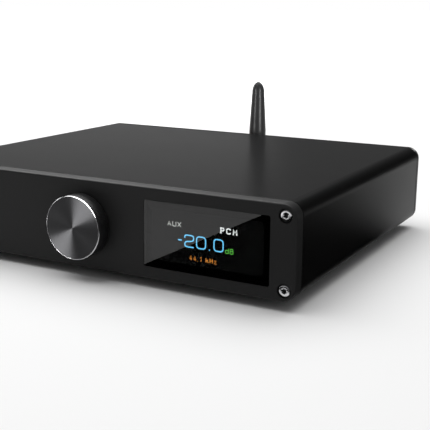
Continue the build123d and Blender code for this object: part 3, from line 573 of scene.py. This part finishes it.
def latheMesh(name, profile, centre, steps):
    # profile: (distance along Y, radius) pairs
    build = bmesh.new()
    skinRings(build, [ringOf(build, centre, along, radius, steps) for along, radius in profile])
    return finishedMesh(build, name)


def evaluatedMesh(obj):
    bpy.context.view_layer.update()
    return bpy.data.meshes.new_from_object(obj.evaluated_get(bpy.context.evaluated_depsgraph_get()))


# geometry nodes helpers
def newTree(name, inputs):
    tree = bpy.data.node_groups.new(name, "GeometryNodeTree")
    tree.interface.new_socket("Geometry", in_out="INPUT", socket_type="NodeSocketGeometry")
    tree.interface.new_socket("Geometry", in_out="OUTPUT", socket_type="NodeSocketGeometry")
    for label, kind, value in inputs:
        socket = tree.interface.new_socket(label, in_out="INPUT", socket_type=kind)
        if value is not None:
            socket.default_value = value
    return tree, tree.nodes.new("NodeGroupInput"), tree.nodes.new("NodeGroupOutput")


def addNode(tree, kind, links=None, values=None, **settings):
    node = tree.nodes.new(kind)
    for label, value in settings.items():
        setattr(node, label, value)
    for label, value in (values or {}).items():
        node.inputs[label].default_value = value
    for label, source in (links or {}).items():
        tree.links.new(source, node.inputs[label])
    return node


def grownPiece(name, seedMesh, tree, values):
    # runs the tree on the seed mesh and keeps the result as a plain mesh
    piece = linkObject(name, seedMesh)
    grower = piece.modifiers.new(tree.name, "NODES")
    grower.node_group = tree
    for item in tree.interface.items_tree:
        if item.item_type == "SOCKET" and item.in_out == "INPUT" and item.name in values:
            grower[item.identifier] = values[item.name]
    result = evaluatedMesh(piece)
    piece.modifiers.remove(grower)
    piece.data = result
    result.name = name
    return piece


def markSharp(mesh, degrees):
    build = bmesh.new()
    build.from_mesh(mesh)
    for edge in build.edges:
        edge.smooth = len(edge.link_faces) == 2 and edge.calc_face_angle(0) < math.radians(degrees)
    for face in build.faces:
        face.smooth = True
    build.to_mesh(mesh)
    build.free()


# plate screws
screwLook = {
    "headRadius": 2.4,
    "headHeight": 1.7,
    "shankRadius": 1.22,
    "recessRadius": 1.12,
    "lobeDepth": 0.30,
    "recessDepth": 1.0,
    "crown": 0.10,
    "edgeSoftness": 0.22,
    "headBevel": 0.08,
    "shankBevel": 0.4,
    "steps": 72,
    "frontSpin": 165.0,  # the most degrees that a head is turned at random
    "rearSpin": 60.0,
    "seed": 4,
}


def screwMesh(name, length):
    # head at y = 0 facing -Y, shank along +Y
    head = screwLook["headRadius"] * mm
    tall = screwLook["headHeight"] * mm
    blunt = screwLook["headBevel"] * mm
    soft = screwLook["edgeSoftness"] * mm
    crown = screwLook["crown"] * mm
    recess = screwLook["recessRadius"] * mm
    lobe = screwLook["lobeDepth"] * mm
    deep = screwLook["recessDepth"] * mm
    shank = screwLook["shankRadius"] * mm
    bevel = screwLook["shankBevel"] * mm
    # distance along Y, radius and depth of the lobes, from the bottom of the recess outwards
    recessPart = [
        (deep * 1.12, 0, 0), (deep, recess * 0.86, lobe), (deep * 0.97, recess * 0.93, lobe),
        (crown * 0.3 + 0.1 * mm, recess * 0.96, lobe), (crown * 0.3, recess, lobe)]
    headPart = [
        (0.0, recess + 0.10 * mm, lobe * 0.5), (0.0, recess + 0.28 * mm, 0),
        (crown * 0.35, head - soft - 0.25 * mm, 0), (crown, head - soft, 0),
        (crown + soft * 0.35, head - soft * 0.35, 0), (crown + soft, head - 0.02 * mm, 0),
        (tall - blunt, head, 0), (tall, head - blunt, 0)]
    shankPart = [(tall, shank, 0), (length - bevel, shank, 0), (length, shank - bevel, 0), (length, 0, 0)]
    build = bmesh.new()
    axis = Vector((0, 0, 0))
    rings = [ringOf(build, axis, along, radius, screwLook["steps"], wave)
             for along, radius, wave in recessPart + headPart + shankPart]
    inside = build.faces.layers.int.new("recess")
    for index, band in enumerate(skinRings(build, rings)):
        for face in band:
            face[inside] = 1 if index < len(recessPart) - 1 else 0
            face.smooth = True
    return finishedMesh(build, name)


def screwTree():
    tree, start, end = newTree("screwCorners", [
        ("Half Width", "NodeSocketFloat", 0.09), ("Half Height", "NodeSocketFloat", 0.015),
        ("Centre", "NodeSocketVector", (0, 0, 0)), ("Facing", "NodeSocketFloat", 0.0),
        ("Spin", "NodeSocketFloat", 0.3), ("Seed", "NodeSocketInt", 4),
        ("Head Material", "NodeSocketMaterial", None), ("Recess Material", "NodeSocketMaterial", None)])
    wide = addNode(tree, "ShaderNodeMath", values={1: 2.0}, operation="MULTIPLY",
                   links={0: start.outputs["Half Width"]})
    tall = addNode(tree, "ShaderNodeMath", values={1: 2.0}, operation="MULTIPLY",
                   links={0: start.outputs["Half Height"]})
    grid = addNode(tree, "GeometryNodeMeshGrid", values={"Vertices X": 2, "Vertices Y": 2},
                   links={"Size X": wide.outputs[0], "Size Y": tall.outputs[0]})
    stand = addNode(tree, "GeometryNodeTransform", values={"Rotation": (math.pi / 2, 0, 0)},
                    links={"Geometry": grid.outputs["Mesh"], "Translation": start.outputs["Centre"]})
    turn = addNode(tree, "FunctionNodeRandomValue", data_type="FLOAT",
                   links={"Seed": start.outputs["Seed"]})
    turn.inputs[2].default_value = 0.0
    tree.links.new(start.outputs["Spin"], turn.inputs[3])
    angles = addNode(tree, "ShaderNodeCombineXYZ",
                     links={"Y": turn.outputs[1], "Z": start.outputs["Facing"]})
    copies = addNode(tree, "GeometryNodeInstanceOnPoints", links={
        "Points": stand.outputs[0], "Instance": start.outputs["Geometry"], "Rotation": angles.outputs[0]})
    solid = addNode(tree, "GeometryNodeRealizeInstances", links={"Geometry": copies.outputs[0]})
    heads = addNode(tree, "GeometryNodeSetMaterial", links={
        "Geometry": solid.outputs[0], "Material": start.outputs["Head Material"]})
    mark = addNode(tree, "GeometryNodeInputNamedAttribute", values={"Name": "recess"}, data_type="INT")
    isRecess = addNode(tree, "FunctionNodeCompare", data_type="INT", operation="GREATER_THAN")
    tree.links.new(mark.outputs["Attribute"], isRecess.inputs[2])
    isRecess.inputs[3].default_value = 0
    holes = addNode(tree, "GeometryNodeSetMaterial", links={
        "Geometry": heads.outputs[0], "Selection": isRecess.outputs[0],
        "Material": start.outputs["Recess Material"]})
    tree.links.new(holes.outputs[0], end.inputs["Geometry"])
    return tree


# the recess is painted much darker than the head: painted shade in the screw's hollow
made["recessSteel"] = grainMaterial(
    "recessSteel", tint=(0.06, 0.06, 0.063), roughness=0.4, metallic=1.0, bump=0.05)
screwPattern = screwTree()


def cornerScrews(name, node, facing, spin, material):
    low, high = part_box(node)
    head = screwLook["headRadius"] * mm
    faceY = low.y if facing == 0 else high.y
    piece = grownPiece(name, screwMesh(name + "Seed", high.y - low.y), screwPattern, {
        "Half Width": (high.x - low.x) / 2 - head, "Half Height": (high.z - low.z) / 2 - head,
        "Centre": ((low.x + high.x) / 2, faceY, (low.z + high.z) / 2),
        "Facing": math.radians(facing), "Spin": math.radians(spin), "Seed": screwLook["seed"],
        "Head Material": made[material], "Recess Material": made["recessSteel"]})
    markSharp(piece.data, 38)
    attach(piece, "chassis")
    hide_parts(node)


cornerScrews("frontPlateScrews", "front_screws", 0, screwLook["frontSpin"], "screwSteel")
cornerScrews("rearPlateScrews", "rear_screws", 180, screwLook["rearSpin"], "darkScrew")
print("screws ready")


# knob
knobLook = {
    "chamfer": 0.30,
    "rimFlat": 0.06,
    "faceStep": 0.12,
    "faceTint": (0.058, 0.058, 0.060),
    "faceRoughness": 0.52,
    "ringScale": 6000.0,
    "ringTone": 0.35,
    "gripRidges": 132,
    "ridgeHeight": 0.10,
    "ridgeFill": 0.92,  # share of the pitch that a ridge takes
    "gripStart": 0.50,  # mm behind the chamfer
    "gripEnd": 0.55,  # mm in front of the back
    "wall": 1.8,
    "hollowFrom": 3.6,  # mm behind the front
    "hubRadius": 6.2,
    "hubShort": 1.7,  # mm that the hub ends in front of the back
    "boreRadius": 3.05,
    "boreFrom": 2.5,
    "steps": 192,
}


def spunFaceMaterial(centre):
    material, shader = newMaterial("spunFace", {
        "Metallic": 1.0, "Anisotropic": 1.0, "Specular IOR Level": 0.5})
    placeGroup(material, shader, turnedRings, {
        "Tint": (*knobLook["faceTint"], 1), "Roughness": knobLook["faceRoughness"], "Centre": centre,
        "Ring Scale": knobLook["ringScale"], "Ring Tone": knobLook["ringTone"]}, 0.05, grainDepth / 2)
    tree = material.node_tree
    coords = tree.nodes.new("ShaderNodeTexCoord").outputs["Object"]
    spoke = vectorNode(tree, "MULTIPLY", vectorNode(tree, "SUBTRACT", coords, centre), (1, 0, 1))
    world = tree.nodes.new("ShaderNodeVectorTransform")
    world.vector_type = "VECTOR"
    world.convert_from = "OBJECT"
    world.convert_to = "WORLD"
    tree.links.new(spoke, world.inputs[0])
    tree.links.new(vectorNode(tree, "NORMALIZE", world.outputs[0]), shader.inputs["Tangent"])
    return material


def knobPiece():
    centre = (knobLow + knobHigh) / 2
    front = knobLow.y
    back = knobHigh.y
    radius = (knobHigh.x - knobLow.x) / 2
    chamfer = knobLook["chamfer"] * mm
    faceRadius = radius - chamfer - knobLook["rimFlat"] * mm
    step = knobLook["faceStep"] * mm
    grip = radius - knobLook["ridgeHeight"] * mm
    wall = radius - knobLook["wall"] * mm
    web = front + knobLook["hollowFrom"] * mm
    hub = knobLook["hubRadius"] * mm
    hubEnd = back - knobLook["hubShort"] * mm
    bore = knobLook["boreRadius"] * mm
    boreEnd = front + knobLook["boreFrom"] * mm
    facePart = [(front + step, 0.0), (front + step, faceRadius * 0.35), (front + step, faceRadius)]
    rimPart = [(front + step, faceRadius), (front + 0.02 * mm, faceRadius + 0.05 * mm),
               (front, faceRadius + 0.09 * mm), (front, radius - chamfer),
               (front + 0.06 * mm, radius - chamfer + 0.09 * mm),
               (front + chamfer, radius - 0.02 * mm), (front + chamfer + 0.06 * mm, radius)]
    sidePart = [(front + chamfer + 0.06 * mm, radius), (front + chamfer + 0.35 * mm, radius),
                (front + chamfer + 0.45 * mm, grip), (back - 0.5 * mm, grip),
                (back, grip - 0.4 * mm), (back, wall), (web, wall), (web, hub), (hubEnd, hub),
                (hubEnd, bore), (boreEnd, bore), (boreEnd, 0.0)]
    build = bmesh.new()
    for index, part in enumerate((facePart, rimPart, sidePart)):
        partMesh = latheMesh("knobPart", part, centre, knobLook["steps"])
        before = len(build.faces)
        build.from_mesh(partMesh)
        build.faces.ensure_lookup_table()
        for face in build.faces[before:]:
            face.material_index = index
            face.smooth = True
    bmesh.ops.remove_doubles(build, verts=build.verts, dist=1e-7)
    mesh = finishedMesh(build, "knobTurned")
    mesh.materials.append(spunFaceMaterial(centre))
    mesh.materials.append(made["polishedRim"])
    mesh.materials.append(made["knobSide"])
    piece = linkObject("knobTurned", mesh)
    markSharp(mesh, 32)
    return piece


made["polishedRim"] = grainMaterial(
    "polishedRim", tint=(0.8, 0.8, 0.82), roughness=0.12, metallic=1.0, bump=0.0)
made["knobSide"] = grainMaterial(
    "knobSide", tint=(0.012, 0.012, 0.0125), roughness=0.4, metallic=0.0, bump=0.05)

knobBody = knobPiece()
lightOnly(wedgeBox, [knobBody])
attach(knobBody, "knob")
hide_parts("knob")


def gripTree():
    tree, start, end = newTree("gripRidges", [
        ("Count", "NodeSocketInt", 120), ("Radius", "NodeSocketFloat", 0.013),
        ("Centre", "NodeSocketVector", (0, 0, 0)), ("Material", "NodeSocketMaterial", None)])
    dots = addNode(tree, "GeometryNodePoints", links={"Count": start.outputs["Count"]})
    place = addNode(tree, "GeometryNodeInputIndex")
    whole = addNode(tree, "ShaderNodeMath", operation="DIVIDE", values={0: 2 * math.pi},
                    links={1: start.outputs["Count"]})
    angle = addNode(tree, "ShaderNodeMath", operation="MULTIPLY",
                    links={0: place.outputs[0], 1: whole.outputs[0]})
    cosine = addNode(tree, "ShaderNodeMath", operation="COSINE", links={0: angle.outputs[0]})
    sine = addNode(tree, "ShaderNodeMath", operation="SINE", links={0: angle.outputs[0]})
    spoke = addNode(tree, "ShaderNodeCombineXYZ", links={"X": cosine.outputs[0], "Z": sine.outputs[0]})
    reach = addNode(tree, "ShaderNodeVectorMath", operation="SCALE",
                    links={0: spoke.outputs[0], "Scale": start.outputs["Radius"]})
    spot = addNode(tree, "ShaderNodeVectorMath", operation="ADD",
                   links={0: reach.outputs[0], 1: start.outputs["Centre"]})
    moved = addNode(tree, "GeometryNodeSetPosition",
                    links={"Geometry": dots.outputs[0], "Position": spot.outputs[0]})
    back = addNode(tree, "ShaderNodeMath", operation="MULTIPLY", values={1: -1.0},
                   links={0: angle.outputs[0]})
    turn = addNode(tree, "ShaderNodeCombineXYZ", links={"Y": back.outputs[0]})
    copies = addNode(tree, "GeometryNodeInstanceOnPoints", links={
        "Points": moved.outputs[0], "Instance": start.outputs["Geometry"], "Rotation": turn.outputs[0]})
    solid = addNode(tree, "GeometryNodeRealizeInstances", links={"Geometry": copies.outputs[0]})
    paint = addNode(tree, "GeometryNodeSetMaterial", links={
        "Geometry": solid.outputs[0], "Material": start.outputs["Material"]})
    tree.links.new(paint.outputs[0], end.inputs["Geometry"])
    return tree


def ridgeMesh(name, length, width, height):
    # a low rounded rib along Y, with its foot just inside the grip and its crest facing +X
    build = bmesh.new()
    shape = [(-0.3, -0.5), (0.45, -0.42), (0.85, -0.24), (1.0, 0.0),
             (0.85, 0.24), (0.45, 0.42), (-0.3, 0.5)]
    tip = 0.2  # the crest's height at the two ends, as a share of the full height
    ends = []
    for along, shrink in ((-length / 2, tip), (-length / 2 + height, 1.0),
                          (length / 2 - height, 1.0), (length / 2, tip)):
        ends.append([build.verts.new((out * height * (shrink if out > 0 else 1), along, side * width))
                     for out, side in shape])
    skinRings(build, ends)
    build.faces.new(ends[0])
    build.faces.new(ends[-1])
    return finishedMesh(build, name)


def addGrip():
    centre = (knobLow + knobHigh) / 2
    radius = (knobHigh.x - knobLow.x) / 2
    height = knobLook["ridgeHeight"] * mm
    front = knobLow.y + (knobLook["chamfer"] + knobLook["gripStart"]) * mm
    back = knobHigh.y - knobLook["gripEnd"] * mm
    width = 2 * math.pi * radius / knobLook["gripRidges"] * knobLook["ridgeFill"]
    piece = grownPiece("knobGrip", ridgeMesh("ridgeSeed", back - front, width, height), gripTree(), {
        "Count": knobLook["gripRidges"], "Radius": radius - height,
        "Centre": (centre.x, (front + back) / 2, centre.z), "Material": made["knobSide"]})
    markSharp(piece.data, 50)
    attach(piece, "knob")


addGrip()
print("knob ready")


# readout
readout = {
    "glassLoss": 13.0,  # the strokes are this much brighter than they look through the glass
    "depth": 2.2,  # mm behind the plate's face, between the glass and the panel
    "field": (37.9, 8.9, 73.4, 27.6),  # lit area: left, bottom, right, top in mm on the plate
    "maskInset": 0.3,
    "maskGap": 0.02,
    "maskThickness": 0.03,  # has no effect as it stands: the border comes out flat
    "lines": [
        # piece, text, left, bottom, height, width of a letter, gap, stroke, colour, glow
        ("levelDigits", "-20.0", 44.5, 15.3, 5.3, 4.6, 0.75, 0.56, (0.16, 0.58, 0.92), 1.1),
        ("levelUnit", "dB", 66.0, 15.2, 2.2, 1.5, 0.55, 0.26, (0.14, 0.62, 0.08), 1.0),
        ("rateLine", "44.1 kHz", 49.9, 10.2, 2.1, 1.36, 0.46, 0.27, (0.85, 0.30, 0.05), 1.0),
        ("inputLine", "AUX", 39.9, 23.1, 2.1, 1.75, 0.55, 0.27, (0.75, 0.75, 0.72), 0.9),
        ("formatLine", "PCM", 63.5, 23.0, 2.4, 2.15, 0.62, 0.46, (1.0, 1.0, 1.0), 1.0),
    ],
}

# strokes of each sign on a cell one wide and one high: (closed, corner softness, points)
signs = {
    "2": [(False, 0.30, [(0, 0.74), (0, 1), (1, 1), (1, 0.54), (0, 0.42), (0, 0), (1, 0)])],
    "0": [(True, 0.36, [(0, 0), (1, 0), (1, 1), (0, 1)])],
    "1": [(False, 0.0, [(0.25, 0.8), (0.6, 1), (0.6, 0)])],
    "4": [(False, 0.0, [(0.72, 0), (0.72, 1), (0, 0.3), (1, 0.3)])],
    "-": [(False, 0.0, [(0, 0.5), (0.45, 0.5)])],
    ".": [(False, 0.0, [(0.08, 0.0), (0.16, 0.0)]), (False, 0.0, [(0.12, 0.03), (0.12, -0.03)])],
    "d": [(True, 0.28, [(0, 0), (1, 0), (1, 0.62), (0, 0.62)]), (False, 0, [(1, 0), (1, 1)])],
    "B": [(True, 0.25, [(0, 0), (1, 0), (1, 0.54), (0, 0.54)]),
          (True, 0.25, [(0, 0.54), (0.9, 0.54), (0.9, 1), (0, 1)])],
    "k": [(False, 0, [(0, 0), (0, 1)]), (False, 0, [(0.85, 0.66), (0, 0.28)]),
          (False, 0, [(0.35, 0.44), (0.95, 0)])],
    "H": [(False, 0, [(0, 0), (0, 1)]), (False, 0, [(1, 0), (1, 1)]), (False, 0, [(0, 0.5), (1, 0.5)])],
    "z": [(False, 0, [(0.05, 0.64), (0.9, 0.64), (0.05, 0), (0.95, 0)])],
    "A": [(False, 0, [(0, 0), (0.5, 1), (1, 0)]), (False, 0, [(0.2, 0.34), (0.8, 0.34)])],
    "U": [(False, 0.35, [(0, 1), (0, 0), (1, 0), (1, 1)])],
    "X": [(False, 0, [(0, 0), (1, 1)]), (False, 0, [(0, 1), (1, 0)])],
    "P": [(False, 0, [(0.18, 0), (0.18, 1)]),
          (False, 0.3, [(0.18, 1), (0.95, 1), (0.95, 0.45), (0.18, 0.45)]),
          (False, 0, [(-0.05, 0), (0.45, 0)]), (False, 0, [(-0.05, 1), (0.3, 1)])],
    "C": [(False, 0.36, [(0.95, 0.72), (0.95, 1), (0.05, 1), (0.05, 0), (0.95, 0), (0.95, 0.25)])],
    "M": [(False, 0, [(0.12, 0), (0.12, 1), (0.55, 0.3), (0.98, 1), (0.98, 0)]),
          (False, 0, [(-0.05, 0), (0.3, 0)]), (False, 0, [(0.8, 0), (1.15, 0)])],
    "+": [(False, 0, [(0.1, 0.5), (0.9, 0.5)]), (False, 0, [(0.5, 0.12), (0.5, 0.88)])],
    "L": [(False, 0, [(0, 1), (0, 0), (0.9, 0)])],
    "R": [(False, 0.3, [(0, 0), (0, 1), (0.9, 1), (0.9, 0.5), (0, 0.5)]),
          (False, 0, [(0.45, 0.5), (0.95, 0)])],
    "I": [(False, 0, [(0.5, 0), (0.5, 1)])],
    "N": [(False, 0, [(0, 0), (0, 1), (1, 0), (1, 1)])],
    "O": [(True, 0.4, [(0, 0), (1, 0), (1, 1), (0, 1)])],
    "T": [(False, 0, [(0.5, 0), (0.5, 1)]), (False, 0, [(0, 1), (1, 1)])],
}
narrowSigns = {".": 0.28, "-": 0.45, " ": 0.45, "1": 0.8}
cornerSteps = 6
strokeDepth = 0.08  # a stroke's round section is pressed this flat


def softCorners(points, closed, softness, width, height):
    # replaces each corner by a short arc made of a quadratic curve
    scaled = [Vector((x * width, y * height)) for x, y in points]
    if softness <= 0:
        return scaled
    reach = softness * min(width, height)
    path = []
    count = len(scaled)
    for index, corner in enumerate(scaled):
        if not closed and index in (0, count - 1):
            path.append(corner)
            continue
        before = scaled[index - 1]
        after = scaled[(index + 1) % count]
        inward = (before - corner).normalized() * min(reach, (before - corner).length * 0.5)
        outward = (after - corner).normalized() * min(reach, (after - corner).length * 0.5)
        for step in range(cornerSteps + 1):
            part = step / cornerSteps
            path.append((1 - part) ** 2 * (corner + inward) + 2 * part * (1 - part) * corner
                        + part ** 2 * (corner + outward))
    return path


def drawSigns(curve, text, left, bottom, height, width, gap, stroke):
    cursor = left + stroke / 2
    cellWidth = width - stroke
    cellHeight = height - stroke
    for letter in text:
        for closed, softness, points in signs.get(letter, []):
            path = softCorners(points, closed, softness, cellWidth, cellHeight)
            spline = curve.splines.new("POLY")
            spline.points.add(len(path) - 1)
            for point, spot in zip(spline.points, path):
                point.co = (cursor + spot.x, 0, bottom + stroke / 2 + spot.y, 1)
            spline.use_cyclic_u = closed
        cursor += narrowSigns.get(letter, 1.0) * cellWidth + stroke + gap


def signPiece(name, rows, stroke, place):
    # rows of text as flattened tubes; place puts a point of the drawing on the object
    curve = bpy.data.curves.new(name, "CURVE")
    curve.dimensions = "3D"
    curve.bevel_depth = stroke / 2
    curve.bevel_resolution = 3
    curve.use_fill_caps = True
    for row in rows:
        drawSigns(curve, *row, stroke)
    holder = linkObject(name + "Curve", curve)
    mesh = evaluatedMesh(holder)
    bpy.data.objects.remove(holder)
    mesh.name = name
    for vertex in mesh.vertices:
        vertex.co = place(vertex.co)
    mesh.materials.clear()
    return linkObject(name, mesh)


def glowMaterial(name, color, glow):
    material, shader = newMaterial(name, {
        "Emission Strength": glow * readout["glassLoss"], "Specular IOR Level": 0.0})
    glowNode = placeGroup(material, shader, surfaceGrain, {
        "Tint": (*color, 1), "Roughness": 0.6, "Grain Scale": 2500.0, "Grain Tone": 0.10}, 0, 0)
    tree = material.node_tree
    tree.links.remove(shader.inputs["Base Color"].links[0])
    shader.inputs["Base Color"].default_value = (0, 0, 0, 1)
    tree.links.new(glowNode.outputs["Color"], shader.inputs["Emission Color"])
    return material


def behindGlass(spot):
    return atPlate(spot.x, readout["depth"] + spot.y * strokeDepth, spot.z)


for name, text, left, bottom, height, width, gap, stroke, color, glow in readout["lines"]:
    piece = signPiece(name, [(text, left, bottom, height, width, gap)], stroke, behindGlass)
    piece.data.materials.append(glowMaterial(name + "Glow", color, glow))
    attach(piece, "chassis")


def printedMask():
    # black printed border on the back of the glass, round the lit field
    low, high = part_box("display_glass")
    left, bottom, right, top = readout["field"]
    back = high.y + readout["maskGap"] * mm
    inset = readout["maskInset"] * mm
    outer = [(low.x + inset, low.z + inset), (high.x - inset, low.z + inset),
             (high.x - inset, high.z - inset), (low.x + inset, high.z - inset)]
    inner = [(spot.x, spot.z) for spot in (atPlate(left, 0, bottom), atPlate(right, 0, bottom),
                                           atPlate(right, 0, top), atPlate(left, 0, top))]
    build = bmesh.new()
    outerRow = [build.verts.new((x, back, z)) for x, z in outer]
    innerRow = [build.verts.new((x, back, z)) for x, z in inner]
    skinRings(build, [outerRow, innerRow])
    bmesh.ops.solidify(build, geom=build.faces[:], thickness=readout["maskThickness"] * mm)
    mesh = finishedMesh(build, "glassMask")
    mesh.materials.append(made["maskInk"])
    piece = linkObject("glassMask", mesh)
    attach(piece, "chassis")


made["maskInk"] = grainMaterial(
    "maskInk", tint=(0.0006, 0.0006, 0.0006), roughness=0.7, specular=0.0, bump=0.0)
printedMask()
print("readout ready")


# marks on the rear plate
rearMarks = {
    "height": 2.2,
    "letter": 1.5,
    "gap": 0.55,
    "stroke": 0.28,
    # text, its middle in mm to the right of the case's middle as seen from behind, its foot's height
    "marks": [("+", 62.0, 38.6), ("-", 81.3, 38.6), ("R", 71.5, 30.0), ("L", 71.5, 14.0),
              ("IN", 40.0, 22.1), ("OUT", -20.0, 22.1)],
}


def onRearPlate(spot):
    # half a turn about the upright axis puts the drawing on the back
    return Vector((-spot.x * mm, rearHigh.y - spot.y * strokeDepth * mm, spot.z * mm))


def addRearMarks():
    height, letter, gap = rearMarks["height"], rearMarks["letter"], rearMarks["gap"]
    rows = []
    for text, middle, foot in rearMarks["marks"]:
        long = len(text) * letter + (len(text) - 1) * gap
        rows.append((text, middle - long / 2, foot, height, letter, gap))
    piece = signPiece("rearMarks", rows, rearMarks["stroke"], onRearPlate)
    piece.data.materials.append(made["printWhite"])
    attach(piece, "chassis")


made["printWhite"] = grainMaterial("printWhite", tint=(0.5, 0.5, 0.48), roughness=0.6, bump=0.0)
addRearMarks()
print("rear marks ready")
